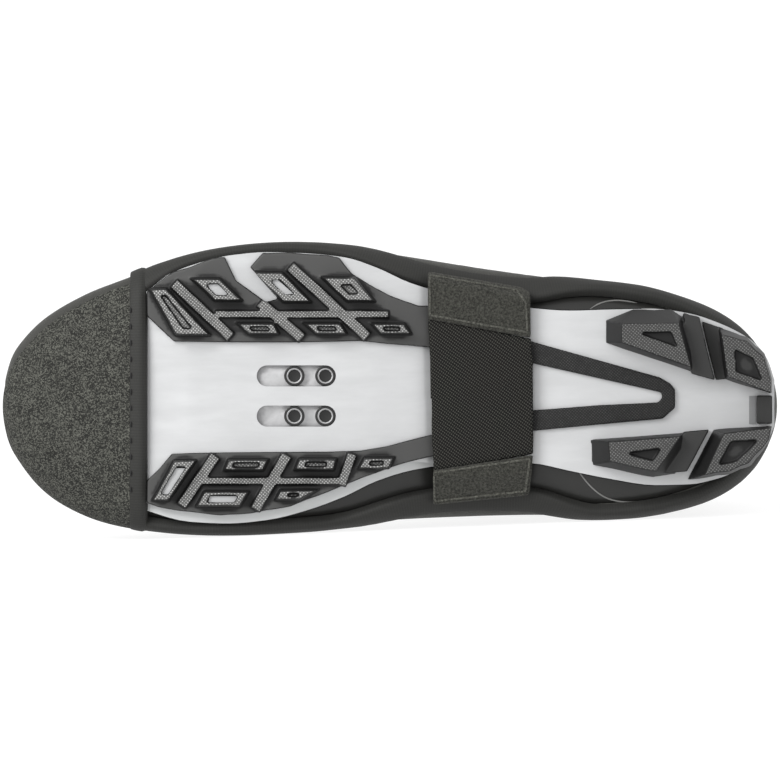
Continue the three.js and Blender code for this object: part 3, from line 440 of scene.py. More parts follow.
def last_body(name, grow, creased=True, steps=6, columns=150):
    """A sphere moulded to the last, standing grow off the form all over."""
    points, normals = last_grid(steps, columns)
    lift = grow + (crease(points) if creased else 0 * points[..., 0])
    places = points + normals * lift[..., None]
    rows = len(places)
    piece = added(bpy.ops.mesh.primitive_uv_sphere_add, segments=columns, ring_count=rows + 1, radius=1)
    piece.name = name
    flat = places_of(piece)
    ring = np.rint(np.arccos(np.clip(flat[:, 2], -1, 1)) / math.pi * (rows + 1)).astype(int) - 1
    column = np.rint(np.arctan2(flat[:, 1], flat[:, 0]) / (2 * math.pi) * columns).astype(int) % columns
    inside = np.clip(ring, 0, rows - 1)
    moved = places[inside, column]
    moved[ring < 0] = places[0].mean(axis=0)
    moved[ring >= rows] = places[-1].mean(axis=0)
    set_places(piece, moved)
    closed_up(piece)
    return piece


def sole_tool(lateral, medial, extra, top, end):
    """A closed tool under the foot, for cutting the opening of a hollow piece."""
    places = []
    for x in np.linspace(-0.03 * LENGTH, end, 90):
        outer = float(lateral(x)) * BALL_WIDTH + extra
        inner = -float(medial(x)) * BALL_WIDTH - extra
        high = float(plate_line(x)) + top
        low = TOOL_BOTTOM
        places.append([(x, outer, low), (x, outer, high), (x, inner, high), (x, inner, low), (x, outer, low)])
    tool = moulded_grid("tool", places)
    closed_up(tool)
    return tool


def slab_tool(place, turn=0.0):
    """A large block whose flat underside is at place, turned about the shoe's width."""
    tool = added(bpy.ops.mesh.primitive_cube_add, size=600)
    move = Matrix.Translation(place) @ Matrix.Rotation(turn, 4, "Y") @ Matrix.Translation((0, 0, 300))
    tool.data.transform(move)
    return tool


def cut(piece, tool):
    """Takes a tool's shape out of a piece and removes the tool."""
    finish_with(piece, "BOOLEAN", operation="DIFFERENCE", object=tool, solver="EXACT")
    bpy.data.objects.remove(tool)


def bisected(piece, place, normal):
    """Cuts a piece with a plane and keeps what lies behind it."""
    edited(piece, bpy.ops.mesh.bisect, plane_co=place, plane_no=normal, clear_outer=True)


def node_copy(node, name):
    """A merged copy of a frame node, standing on its sole."""
    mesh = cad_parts[node].data.copy()
    mesh.materials.clear()
    piece = linked(name, mesh)
    mesh.transform(STANDING)
    only(piece)
    if mesh.has_custom_normals:
        bpy.ops.mesh.customdata_custom_splitnormals_clear()
    edited(piece, bpy.ops.mesh.remove_doubles, threshold=0.002)
    return piece


def softened(piece, voxel, rounds):
    """Rounds a piece's edges, as moulding or sewing does."""
    finish_with(piece, "REMESH", mode="VOXEL", voxel_size=voxel)
    finish_with(piece, "SMOOTH", factor=0.5, iterations=rounds)


def eased(piece, cuts=0):
    """Turns the straight runs between the sole's stations into one smooth outline."""
    if cuts:
        edited(piece, bpy.ops.mesh.subdivide, number_cuts=cuts)
    flat = places_of(piece)
    stations = [row[0] * LENGTH for row in SOLE_OUTLINE]
    for column, side, smooth in ((1, 1, sole_lateral), (2, -1, sole_medial)):
        straight = np.interp(flat[:, 0], stations, [row[column] for row in SOLE_OUTLINE])
        change = (smooth(flat[:, 0]) - straight) * BALL_WIDTH
        share = np.clip(side * flat[:, 1] / (straight * BALL_WIDTH), 0, 1) ** 3
        flat[:, 1] += side * change * share
    set_places(piece, flat)


def keep_depth(piece, level, high):
    """Stores each point's depth under a level, and how much near it is deeper than high, as a painted shade
    mask for the base beside the lugs.
    """
    flat = places_of(piece)
    depth = level(flat[:, 0]) - flat[:, 2]
    cell = 0.5
    reach = 6
    corner = flat[:, :2].min(axis=0) - cell * 2 * reach
    cells = np.floor((flat[:, :2] - corner) / cell).astype(int)
    raised = np.zeros(cells.max(axis=0) + 2 * reach)
    np.maximum.at(raised, (cells[:, 0], cells[:, 1]), (depth > high).astype(float))
    for axis in (0, 1):
        raised = sum(np.roll(raised, step, axis) for step in range(-reach, reach + 1)) / (2 * reach + 1)
    # groove is painted shade: the blurred share of raised cells round each point darkens the base beside the
    # lugs
    for name, values in (("depth", depth), ("groove", raised[cells[:, 0], cells[:, 1]])):
        layer = piece.data.attributes.new(name, "FLOAT", "POINT")
        layer.data.foreach_set("value", values.astype(np.float32))


def settle(piece, finish, nodes=(), angle=35):
    """Lays a finished piece down with the frame and gives it its material."""
    only(piece)
    piece.data.materials.clear()
    piece.data.materials.append(finish)
    bpy.ops.object.shade_smooth_by_angle(angle=math.radians(angle))
    piece.data.transform(LYING)
    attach(piece, "root")
    if nodes:
        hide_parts(*nodes)
    return piece


def sweep(name, path, profile, closed):
    """A band along a path on the form. path has a spot and a heading for each step, and profile the
    distance along the form and the height over it of each point of the band's section."""
    reach = sorted({s for s, _ in profile})
    places = []
    for spot, heading in path:
        spots = dict(zip(reach, walk(spot, heading, reach)))
        ring = []
        for s, lift in profile:
            place, normal = spots[s]
            ring.append(place + normal * (lift + float(crease(np.array(place)))))
        places.append(ring)
    places = np.array([[tuple(p) for p in ring] for ring in places])
    places = np.concatenate((places, places[:, :1]), axis=1)
    if closed:
        places = np.concatenate((places, places[:1]), axis=0)
    band = moulded_grid(name, places)
    closed_up(band)
    return band


def evened(points, pitch):
    """The same line with its points a pitch apart."""
    flat = np.array([tuple(p) for p in points])
    run = np.concatenate(([0], np.cumsum(np.linalg.norm(np.diff(flat, axis=0), axis=1))))
    even = np.linspace(0, run[-1], max(int(run[-1] / pitch), 2))
    return [Vector([float(np.interp(s, run, flat[:, k])) for k in range(3)]) for s in even]


def smoothed(points, rounds):
    """The same open line with its kinks eased."""
    flat = np.array([tuple(p) for p in points])
    for _ in range(rounds):
        flat[1:-1] = flat[1:-1] * 0.5 + (flat[:-2] + flat[2:]) * 0.25
    return [Vector(p) for p in flat]


def bead(name, line, radius, lift=0.0):
    """A round thread laid along a line of (spot, outward direction)."""
    places = []
    for i, (spot, normal) in enumerate(line):
        ahead = line[min(i + 1, len(line) - 1)][0] - line[max(i - 1, 0)][0]
        side = ahead.cross(normal).normalized()
        centre = spot + normal * lift
        taper = radius * min(1.0, 0.35 + 0.65 * min(i, len(line) - 1 - i) / 2)
        turns = [2 * math.pi * k / 8 for k in range(9)]
        places.append([centre + (side * math.cos(a) + normal * math.sin(a)) * taper for a in turns])
    thread = moulded_grid(name, places)
    closed_up(thread)
    return thread


def stitches(name, line, length, pitch, radius, lift):
    """A row of equal stitches along a line of (spot, outward direction), as one piece."""
    spots = [spot for spot, _ in line]
    even = evened(spots, pitch)
    made = []
    for i in range(1, len(even) - 1):
        _, normal = min(line, key=lambda item: (item[0] - even[i]).length_squared)
        ahead = (even[i + 1] - even[i - 1]).normalized()
        side = ahead.cross(normal).normalized()
        turn = Matrix((ahead, side, normal)).transposed().to_4x4()
        place = Matrix.Translation(even[i] + normal * lift)
        size = Matrix.Diagonal((length / 2, radius, radius, 1))
        if made:
            stitch = linked(name, made[0][1].copy())
        else:
            stitch = added(bpy.ops.mesh.primitive_uv_sphere_add, segments=8, ring_count=6, radius=1)
            made.append((stitch, stitch.data.copy()))
        stitch.data.transform(place @ turn @ size)
        made.append((stitch, None))
    bpy.ops.object.select_all(action="DESELECT")
    for stitch, _ in made:
        stitch.select_set(True)
    bpy.context.view_layer.objects.active = made[0][0]
    bpy.ops.object.join()
    row = bpy.context.object
    row.name = name
    return row


def flat_piece(name, pixels, depth, thickness):
    """A thin flat piece between four places seen from below, a depth under the plate."""
    a, b, c, d = [(x, y, float(plate_line(x)) - depth) for x, y in from_photo(pixels)]
    piece = moulded_grid(name, [[a, b], [d, c]])
    finish_with(piece, "SOLIDIFY", thickness=thickness, offset=0)
    closed_up(piece)
    return piece


def from_photo(pixels):
    """Places seen from below, measured on the photo in pixels, as (x, y) in millimetres."""
    heel_x, heel_y = PHOTO_HEEL
    return [((heel_x - px) * PHOTO_PIXEL, (heel_y - py) * PHOTO_PIXEL) for px, py in pixels]


def line_on_upper(pixels, depth):
    """A line on the shoe's upper, through places seen from below."""
    places = [Vector((x, y, 0)) for x, y in from_photo(pixels)]
    line = []
    for place in smoothed(evened(places, 1.5), 6):
        spot, normal = from_below(place.x, place.y)
        line.append((spot - normal * depth, normal))
    return line


def laid_on(piece, pixels):
    """A line on the underside of a standing piece, through places seen from below."""
    tree = BVHTree.FromObject(piece, bpy.context.evaluated_depsgraph_get())
    line = []
    for place in evened([Vector((x, y, BELOW_ALL)) for x, y in from_photo(pixels)], 0.9):
        spot, normal, _, _ = tree.ray_cast(place, Vector((0, 0, 1)))
        if spot:
            line.append((spot, normal))
    return line


# Materials

def add_node(tree, kind, values=None, **settings):
    """Adds a node with its settings and its sockets' values."""
    node = tree.nodes.new("ShaderNode" + kind)
    for name, value in settings.items():
        setattr(node, name, value)
    for socket, value in (values or {}).items():
        node.inputs[socket].default_value = value
    return node


def new_finish(name, colour, roughness, **sockets):
    """A new material with its own shader."""
    material = bpy.data.materials.new(name)
    material.use_nodes = True
    shader = material.node_tree.nodes["Principled BSDF"]
    shader.inputs["Base Color"].default_value = (*colour, 1)
    shader.inputs["Roughness"].default_value = roughness
    for socket, value in sockets.items():
        shader.inputs[socket.replace("_", " ")].default_value = value
    return material, material.node_tree, shader


def placing(tree, scale, turn=(0, 0, 0), source="Object"):
    """Pattern coordinates: the piece's own, scaled and turned."""
    coordinates = add_node(tree, "TexCoord")
    mapping = add_node(tree, "Mapping", {"Scale": scale, "Rotation": turn})
    tree.links.new(coordinates.outputs[source], mapping.inputs["Vector"])
    return mapping.outputs["Vector"]


def speckle(tree, scale, detail=2.0, rough=0.6):
    """Fine noise, from 0 to 1, with scale grains to the metre."""
    noise = add_node(tree, "TexNoise", {"Scale": scale, "Detail": detail, "Roughness": rough})
    tree.links.new(placing(tree, (1, 1, 1)), noise.inputs["Vector"])
    return noise.outputs["Fac"]


def ranged(tree, value, low, high, to_low=0.0, to_high=1.0):
    """A value's range, smoothly brought to another."""
    spread = add_node(
        tree, "MapRange", {"From Min": low, "From Max": high, "To Min": to_low, "To Max": to_high},
        interpolation_type="SMOOTHSTEP",
    )
    tree.links.new(value, spread.inputs["Value"])
    return spread.outputs["Result"]


def mathed(tree, operation, first, second):
    """Two values, or a value and a number, put together."""
    made = add_node(tree, "Math", operation=operation)
    for socket, value in zip(made.inputs, (first, second)):
        if isinstance(value, (int, float)):
            socket.default_value = value
        else:
            tree.links.new(value, socket)
    return made.outputs["Value"]


def product(tree, *values):
    """Several values multiplied together."""
    made = values[0]
    for value in values[1:]:
        made = mathed(tree, "MULTIPLY", made, value)
    return made


def coloured(tree, shader, factor, dark, light):
    """Colours the surface from dark to light by a value."""
    mix = add_node(tree, "Mix", data_type="RGBA")
    mix.inputs[6].default_value = (*dark, 1)
    mix.inputs[7].default_value = (*light, 1)
    tree.links.new(factor, mix.inputs[0])
    tree.links.new(mix.outputs[2], shader.inputs["Base Color"])


def bumped(tree, shader, height, distance, strength=1.0):
    """Raises the surface by a value, up to a distance in metres."""
    bump = add_node(tree, "Bump", {"Strength": strength, "Distance": distance})
    tree.links.new(height, bump.inputs["Height"])
    tree.links.new(bump.outputs["Normal"], shader.inputs["Normal"])


def dimmed(colour, share):
    """A colour made darker or lighter."""
    return tuple(min(channel * share, 1) for channel in colour)


def neoprene_finish(name, colour):
    """Fabric-faced neoprene: a fine, slightly uneven nap."""
    material, tree, shader = new_finish(name, colour, 0.7, Specular_IOR_Level=0.25, Sheen_Weight=0.06)
    fine = speckle(tree, 2600)
    broad = speckle(tree, 45, 3)
    value = product(tree, ranged(tree, fine, 0.3, 0.7), ranged(tree, broad, 0.3, 0.7, 0.6, 1))
    coloured(tree, shader, value, dimmed(colour, 0.72), dimmed(colour, 1.35))
    bumped(tree, shader, fine, 0.00025, 0.6)
    return material


def cap_finish(name, colour):
    """Abrasion-proof fabric: hard grains of different greys."""
    material, tree, shader = new_finish(name, colour, 0.85, Specular_IOR_Level=0.3)
    cells = add_node(tree, "TexVoronoi", {"Scale": 2700.0, "Randomness": 1.0})
    tree.links.new(placing(tree, (1, 1, 1)), cells.inputs["Vector"])
    grey = add_node(tree, "SeparateColor")
    tree.links.new(cells.outputs["Color"], grey.inputs["Color"])
    patches = ranged(tree, speckle(tree, 240, 3), 0.35, 0.7, -0.05, 0.08)
    value = mathed(tree, "ADD", ranged(tree, grey.outputs["Red"], 0.25, 1.1), patches)
    coloured(tree, shader, value, dimmed(colour, 0.3), dimmed(colour, 3.2))
    bumped(tree, shader, value, 0.0004, 0.8)
    return material


def tape_finish(name, colour):
    """Stretch tape with fine cross ribs along its own length."""
    material, tree, shader = new_finish(name, colour, 0.65, Specular_IOR_Level=0.25)
    ribs = add_node(tree, "TexWave", {"Scale": 0.3, "Distortion": 0.6, "Detail": 1.0}, bands_direction="X")
    tree.links.new(placing(tree, (1, 1, 1), source="UV"), ribs.inputs["Vector"])
    fine = speckle(tree, 3000)
    ribbed = ranged(tree, ribs.outputs["Fac"], 0, 1, 0.72, 1)
    value = product(tree, ribbed, ranged(tree, fine, 0.2, 0.8, 0.6, 1))
    coloured(tree, shader, value, dimmed(colour, 0.55), dimmed(colour, 1.3))
    bumped(tree, shader, value, 0.00012, 0.5)
    return material


def elastic_finish(name, colour):
    """Woven elastic: cross ribs broken up by slanting rows of thread."""
    material, tree, shader = new_finish(name, colour, 0.75, Specular_IOR_Level=0.2)
    ways = []
    for scale, turn in ((310.0, 52), (390.0, -35)):
        rows = add_node(tree, "TexWave", {"Scale": scale, "Distortion": 0.5}, bands_direction="X")
        tree.links.new(placing(tree, (1, 0, 1), (0, math.radians(turn), 0)), rows.inputs["Vector"])
        ways.append(rows.outputs["Fac"])
    value = product(tree, ways[0], ranged(tree, ways[1], 0.15, 0.8, 0.12, 1))
    coloured(tree, shader, ranged(tree, value, 0.1, 0.85), dimmed(colour, 0.15), dimmed(colour, 4.4))
    bumped(tree, shader, value, 0.0004, 0.8)
    return material


def fuzzy_finish(name, colour):
    """Brushed loop fabric."""
    material, tree, shader = new_finish(name, colour, 0.95, Specular_IOR_Level=0.15, Sheen_Weight=0.05)
    fine = speckle(tree, 1300, 4, 0.75)
    value = ranged(tree, fine, 0.32, 0.72)
    coloured(tree, shader, value, dimmed(colour, 0.45), dimmed(colour, 2.1))
    bumped(tree, shader, fine, 0.0009, 0.9)
    return material


def leather_finish(name, colour):
    """Smooth glossy synthetic with a faint grain."""
    material, tree, shader = new_finish(name, colour, 0.33, Specular_IOR_Level=0.4)
    grain = speckle(tree, 1400, 3)
    coloured(tree, shader, speckle(tree, 60, 3), dimmed(colour, 0.7), dimmed(colour, 1.4))
    bumped(tree, shader, grain, 0.00008, 0.5)
    return material


def moulded_finish(name, colour, roughness, **sockets):
    """Smooth moulded plastic with faint scuffs."""
    material, tree, shader = new_finish(name, colour, roughness, **sockets)
    scuffs = add_node(tree, "TexNoise", {"Scale": 38.0, "Detail": 6.0, "Roughness": 0.65})
    tree.links.new(placing(tree, (1, 1, 5)), scuffs.inputs["Vector"])
    scuffed = ranged(tree, scuffs.outputs["Fac"], 0.3, 0.7)
    coloured(tree, shader, scuffed, dimmed(colour, 0.95), dimmed(colour, 1.03))
    wear = ranged(tree, scuffs.outputs["Fac"], 0.35, 0.75, roughness * 0.85, roughness * 1.2)
    tree.links.new(wear, shader.inputs["Roughness"])
    bumped(tree, shader, speckle(tree, 700), 0.00003, 0.4)
    return material


def dotted(tree, pitch):
    """Raised dots in slanting rows, a pitch in metres apart, on faces that look down."""
    ways = []
    for turn in (48, -42):
        values = {"Scale": math.pi / 10 / pitch, "Distortion": 0.3}
        rows = add_node(tree, "TexWave", values, bands_direction="X")
        tree.links.new(placing(tree, (1, 0, 1), (0, math.radians(turn), 0)), rows.inputs["Vector"])
        ways.append(rows.outputs["Fac"])
    return ranged(tree, product(tree, *ways), 0.12, 0.6)


def tread_finish(name, colour, top_depth, shoulder, light):
    """Rubber that is knurled on its raised faces, its knurl dots painted light as glints, grey on its smooth
    base and black in its grooves, where a painted shade takes the grey off the base beside the lugs.
    """
    material, tree, shader = new_finish(name, colour, 0.5, Specular_IOR_Level=0.22)
    depth = add_node(tree, "Attribute", attribute_name="depth")
    groove = add_node(tree, "Attribute", attribute_name="groove")
    geometry = add_node(tree, "NewGeometry")
    facing_down = add_node(tree, "VectorMath", {1: SOLE_NORMAL}, operation="DOT_PRODUCT")
    tree.links.new(geometry.outputs["Normal"], facing_down.inputs[0])
    flat = ranged(tree, facing_down.outputs["Value"], 0.8, 0.96)
    raised = ranged(tree, depth.outputs["Fac"], top_depth - 0.3, top_depth - 0.05)
    top = product(tree, raised, flat)
    dots = dotted(tree, 0.0009)
    # The raised faces are lifted a little towards the light colour all over, and their knurl dots are painted
    # lighter still as glints, weaker at random where worn.
    wear_and_glint = ranged(tree, speckle(tree, 700, 4), 0.3, 0.72, 0.45, 1.0)
    glint = mathed(tree, "ADD", product(tree, dots, wear_and_glint, 0.78), 0.19)
    # Painted shade: the smooth base is grey only on faces that look down and away from the lugs, and stays
    # black beside them.
    base_out_of_shade = ranged(tree, groove.outputs["Fac"], 0.22, 0.42, 1, 0)
    low = product(tree, flat, base_out_of_shade, shoulder, mathed(tree, "SUBTRACT", 1.0, raised))
    coloured(tree, shader, mathed(tree, "ADD", product(tree, top, glint), low), colour, light)
    bumped(tree, shader, product(tree, top, dots), 0.0004, 0.8)
    return material


def knurled_finish(name, colour, light):
    """Rubber with fine dots all over, the dots painted lighter as glints."""
    material, tree, shader = new_finish(name, colour, 0.55, Specular_IOR_Level=0.22)
    dots = dotted(tree, 0.0008)
    value = product(tree, dots, ranged(tree, speckle(tree, 500, 3), 0.3, 0.7, 0.4, 1))
    coloured(tree, shader, value, colour, light)
    bumped(tree, shader, dots, 0.0003, 0.7)
    return material


def steel_finish(name, colour, roughness):
    """Dull plated steel."""
    material, tree, shader = new_finish(name, colour, roughness, Metallic=0.85)
    wear = ranged(tree, speckle(tree, 500, 4), 0.3, 0.7, roughness * 0.75, roughness * 1.3)
    tree.links.new(wear, shader.inputs["Roughness"])
    return material


# Settings

class OvershoeSizes(bpy.types.PropertyGroup):
    """Thicknesses and widths of the sewn pieces."""

    neoprene: bpy.props.FloatProperty(
        name="Neoprene", description="Thickness of the neoprene", default=0.003, unit="LENGTH")
    binding: bpy.props.FloatProperty(
        name="Binding", description="Thickness of the binding tape", default=0.0009, unit="LENGTH")
    hem_width: bpy.props.FloatProperty(
        name="Hem width", description="Width of the binding round the opening", default=0.0095, unit="LENGTH")
    cuff_band: bpy.props.FloatProperty(
        name="Cuff band", description="Width of the binding round the cuff", default=0.012, unit="LENGTH")
    toe_fabric: bpy.props.FloatProperty(
        name="Toe fabric", description="Thickness of the toe cap's fabric", default=0.001, unit="LENGTH")
    upper_wall: bpy.props.FloatProperty(
        name="Upper wall", description="Thickness of the shoe's upper", default=0.0022, unit="LENGTH")
    stitch: bpy.props.FloatProperty(
        name="Stitch", description="Length of a stitch", default=0.0022, unit="LENGTH")


class OvershoeColours(bpy.types.PropertyGroup):
    """Colours of the main materials."""

    neoprene: bpy.props.FloatVectorProperty(
        name="Neoprene", description="Colour of the neoprene", subtype="COLOR", default=(0.034, 0.034, 0.030))
    cap: bpy.props.FloatVectorProperty(
        name="Toe cap", description="Colour of the toe cap", subtype="COLOR", default=(0.031, 0.0315, 0.027))
    tape: bpy.props.FloatVectorProperty(
        name="Tape", description="Colour of the binding tape", subtype="COLOR",
        default=(0.020, 0.020, 0.0185))
    elastic: bpy.props.FloatVectorProperty(
        name="Elastic", description="Colour of the arch strap", subtype="COLOR",
        default=(0.0135, 0.0135, 0.0115))
    loop: bpy.props.FloatVectorProperty(
        name="Loop fabric", description="Colour of the strap's ends", subtype="COLOR",
        default=(0.036, 0.036, 0.031))
    leather: bpy.props.FloatVectorProperty(
        name="Upper", description="Colour of the shoe's upper", subtype="COLOR",
        default=(0.014, 0.014, 0.013))
    plate: bpy.props.FloatVectorProperty(
        name="Plate", description="Colour of the stiff plate", subtype="COLOR", default=(0.485, 0.49, 0.495))
    midsole: bpy.props.FloatVectorProperty(
        name="Midsole", description="Colour of the midsole's edge", subtype="COLOR",
        default=(0.52, 0.53, 0.53))
    rubber: bpy.props.FloatVectorProperty(
        name="Rubber", description="Colour of the treads", subtype="COLOR", default=(0.011, 0.011, 0.011))
    # Painted glints on the knurled tread faces over their wear, and, a tenth of it, the smooth base's grey
    rubber_glint_and_wear: bpy.props.FloatVectorProperty(
        name="Rubber glint and wear", description="Colour of the tread faces", subtype="COLOR",
        default=(0.5, 0.5, 0.49))


def size_of(name):
    """A size from the panel, in millimetres."""
    return 1000 * getattr(bpy.context.scene.overshoe_sizes, name)


def colour_of(name):
    """A colour from the panel."""
    return tuple(getattr(bpy.context.scene.overshoe_colours, name))


# Paths on the form

def hem_edge():
    """The edge of the overshoe's opening, from the toe round the heel and back to the toe."""
    top = SOLE_TOP + 2 * CLEARANCE

    def side(sign, opening):
        line = []
        for x in np.arange(OPENING_END, -0.01 * LENGTH, -1.5):
            hit = from_below(x, sign * float(opening(x)) * BALL_WIDTH)
            if hit is None or hit[0].z > float(plate_line(x)) + top:
                break
            line.append(hit[0])
        return line

    lateral = side(1, opening_lateral)
    medial = side(-1, opening_medial)
    start = lateral[-1]
    end = medial[-1]
    back = []
    for t in np.linspace(0, 1, 40)[1:-1]:
        angle = math.pi / 2 + math.pi * t
        middle = Vector((34, (start.y + end.y) / 2, start.z * (1 - t) + end.z * t))
        heading = Vector((math.cos(angle), math.sin(angle), 0))
        spot, _, _, _ = LAST_TREE.ray_cast(middle + heading * 120, -heading)
        if spot and spot.x < min(start.x, end.x) - 1:
            back.append(spot)
    line = smoothed(evened([*lateral, *back, *reversed(medial)], 2.0), 8)
    return [on_last(point)[0] for point in line]


def headed(line, away_from):
    """Each spot of a line with the direction square to it, away from a point."""
    path = []
    for i, spot in enumerate(line):
        ahead = line[min(i + 1, len(line) - 1)] - line[max(i - 1, 0)]
        _, normal = on_last(spot)
        heading = ahead.cross(normal).normalized()
        if heading.dot(spot - away_from(spot)) < 0:
            heading = -heading
        path.append((spot, heading))
    return path


def level_line(station, low):
    """The form's line across the foot at a station, as far up each side as low over the plate."""
    row = int(np.argmin(abs(LAST[:, 0, 0] - station)))
    ring = [Vector(p) for p in LAST[row]]
    limit = float(plate_line(station)) + low
    lateral = []
    medial = []
    for i in range(COLUMNS // 2):
        if ring[i].z < limit:
            lateral.append(ring[i])
        if ring[-i].z < limit:
            medial.append(ring[-i])
    line = [Vector((station, p.y, p.z)) for p in [*reversed(medial), *lateral[1:]]]
    return [on_last(point)[0] for point in smoothed(evened(line, 1.5), 3)]


def hem_profile(width, thick):
    """The section of a folded hem: up the neoprene's cut edge and out over it."""
    low = CLEARANCE
    high = CLEARANCE + thick
    return [
        (width, low), (width, high - 0.25), (width - 0.4, high), (width * 0.75, high + 0.08),
        (width * 0.5, high + 0.12), (width * 0.25, high + 0.1), (1.4, high), (0.6, high - 0.3), (0.15, 0.35),
        (0.0, -0.5), (0.0, -2.0), (0.1, -2.8), (0.75, -2.9), (0.8, -1.5), (0.8, -0.1), (1.1, low),
        (width * 0.5, low),
    ]


# Operators

class OVERSHOE_OT_body(bpy.types.Operator):
    """Model the hollow neoprene body with its opening and its cuff"""

    bl_idname = "overshoe.body"
    bl_label = "Neoprene body"

    def execute(self, context):
        body = last_body("overshoe_body", 0)
        finish_with(body, "SOLIDIFY", thickness=size_of("neoprene"), offset=-1, use_even_offset=False)
        cut(body, sole_tool(opening_lateral, opening_medial, 1.0, SOLE_TOP + 1.6, OPENING_END + 1.0))
        cut(body, slab_tool((0, 0, CUFF_HEIGHT - 1.0)))
        finish = neoprene_finish("neoprene", colour_of("neoprene"))
        settle(body, finish, ["overshoe_shell"])
        return {"FINISHED"}


class OVERSHOE_OT_toe_cap(bpy.types.Operator):
    """Lay the fabric cap on the underside of the toe"""

    bl_idname = "overshoe.toe_cap"
    bl_label = "Toe cap"

    def execute(self, context):
        cap = last_body("toe_cap_fabric", CLEARANCE)
        climb = math.atan(CAP_CLIMB)
        up = (-math.sin(climb), math.cos(climb) * math.sin(climb), math.cos(climb) ** 2)
        bisected(cap, (CAP_EDGE_STATION * LENGTH, 0, CAP_EDGE_HEIGHT), up)
        bisected(cap, (OPENING_END + TOE_HEM_WIDTH - 0.8, 0, 0), (-1, 0, 0))
        finish_with(cap, "SOLIDIFY", thickness=size_of("toe_fabric"), offset=1, use_even_offset=False)
        settle(cap, cap_finish("cap_fabric", colour_of("cap")), ["toe_cap"])
        return {"FINISHED"}


class OVERSHOE_OT_bindings(bpy.types.Operator):
    """Fold the binding tape round the opening, across the toe and round the cuff"""

    bl_idname = "overshoe.bindings"
    bl_label = "Bindings"

    def execute(self, context):
        finish = tape_finish("binding_tape", colour_of("tape"))
        thick = size_of("binding")
        edge = hem_edge()
        path = headed(edge, lambda spot: Vector((min(max(spot.x, 40), 215), 0, spot.z)))
        hem = sweep("hem_tape", path, hem_profile(size_of("hem_width"), thick), False)
        settle(hem, finish, ["hem_binding"], 60)

        across = level_line(OPENING_END - 0.6, size_of("hem_width"))
        path = headed(across, lambda spot: Vector((0, spot.y, spot.z)))
        profile = [(s, lift + 0.5 * (lift > 0)) for s, lift in hem_profile(TOE_HEM_WIDTH, thick)]
        toe_hem = sweep("toe_hem_tape", path, profile, False)
        settle(toe_hem, finish, angle=60)
        thread, _, _ = new_finish("black_thread", (0.004, 0.004, 0.004), 0.8)
        seam = [from_below(x, y) for x, y in from_photo([(132.5, py) for py in range(296, 508, 4)])]
        row = stitches("toe_stitches", seam, size_of("stitch"), STITCH_PITCH, STITCH_RADIUS,
                       CLEARANCE + thick + 0.8)
        settle(row, thread, angle=180)

        ring = []
        for turn in np.linspace(0, 2 * math.pi, 161)[:-1]:
            out = Vector((math.cos(turn), math.sin(turn), 0))
            centre = Vector((0.22 * LENGTH, -0.01 * BALL_WIDTH, CUFF_HEIGHT))
            ring.append(LAST_TREE.ray_cast(centre + out * 200, -out)[0])
        path = [(spot, Vector((0, 0, -1))) for spot in ring]
        band = size_of("cuff_band")
        wall = size_of("neoprene")
        profile = [
            (band, CLEARANCE), (band, CLEARANCE + thick - 0.2), (band - 0.5, CLEARANCE + thick),
            (band / 2, CLEARANCE + thick + 0.15), (1.0, CLEARANCE + thick), (0.3, CLEARANCE + thick - 0.4),
            (0.0, 0.0), (0.0, -wall), (0.3, -wall - 0.8), (1.0, -wall - 1.1), (band / 2, -wall - 1.2),
            (band, -wall - 1.0), (band, -wall - 0.2), (1.1, -wall - 0.2), (1.1, CLEARANCE),
        ]
        cuff = sweep("cuff_tape", path, profile, True)
        settle(cuff, finish, ["cuff_binding"], 60)
        return {"FINISHED"}


class OVERSHOE_OT_strap(bpy.types.Operator):
    """Model the woven arch strap and its fuzzy ends"""

    bl_idname = "overshoe.strap"
    bl_label = "Arch strap"

    def execute(self, context):
        elastic = node_copy("strap_elastic", "arch_elastic")
        softened(elastic, 0.7, 8)
        flat = places_of(elastic)
        ends = np.clip((abs(flat[:, 1] - flat[:, 1].mean()) - np.ptp(flat[:, 1]) / 2 + 9) / 9, 0, 1)
        flat[:, 1] += np.sign(flat[:, 1]) * 1.6 * ends
        flat[:, 2] += 0.5 * ends
        set_places(elastic, flat)
        weave = elastic_finish("woven_elastic", colour_of("elastic"))
        settle(elastic, weave, ["strap_elastic"], 180)
        finish = fuzzy_finish("loop_fabric", colour_of("loop"))
        border = fuzzy_finish("loop_border", dimmed(colour_of("loop"), 1.9))
        borders = {
            "lateral": [(430, 275.5), (517, 290.5), (526, 303), (527.5, 332.5), (430, 315.5), (430, 275.5)],
            "medial": [(434, 473), (530, 459), (525.5, 491), (435, 501), (434, 473)],
        }
        for side in ("lateral", "medial"):
            tab = node_copy("strap_tab_" + side, "loop_end_" + side)
            softened(tab, 0.6, 6)
            edge = bead("loop_border_" + side, laid_on(tab, borders[side]), BORDER_RADIUS, 0.05)
            settle(edge, border, angle=180)
            settle(tab, finish, ["strap_tab_" + side], 180)
        return {"FINISHED"}


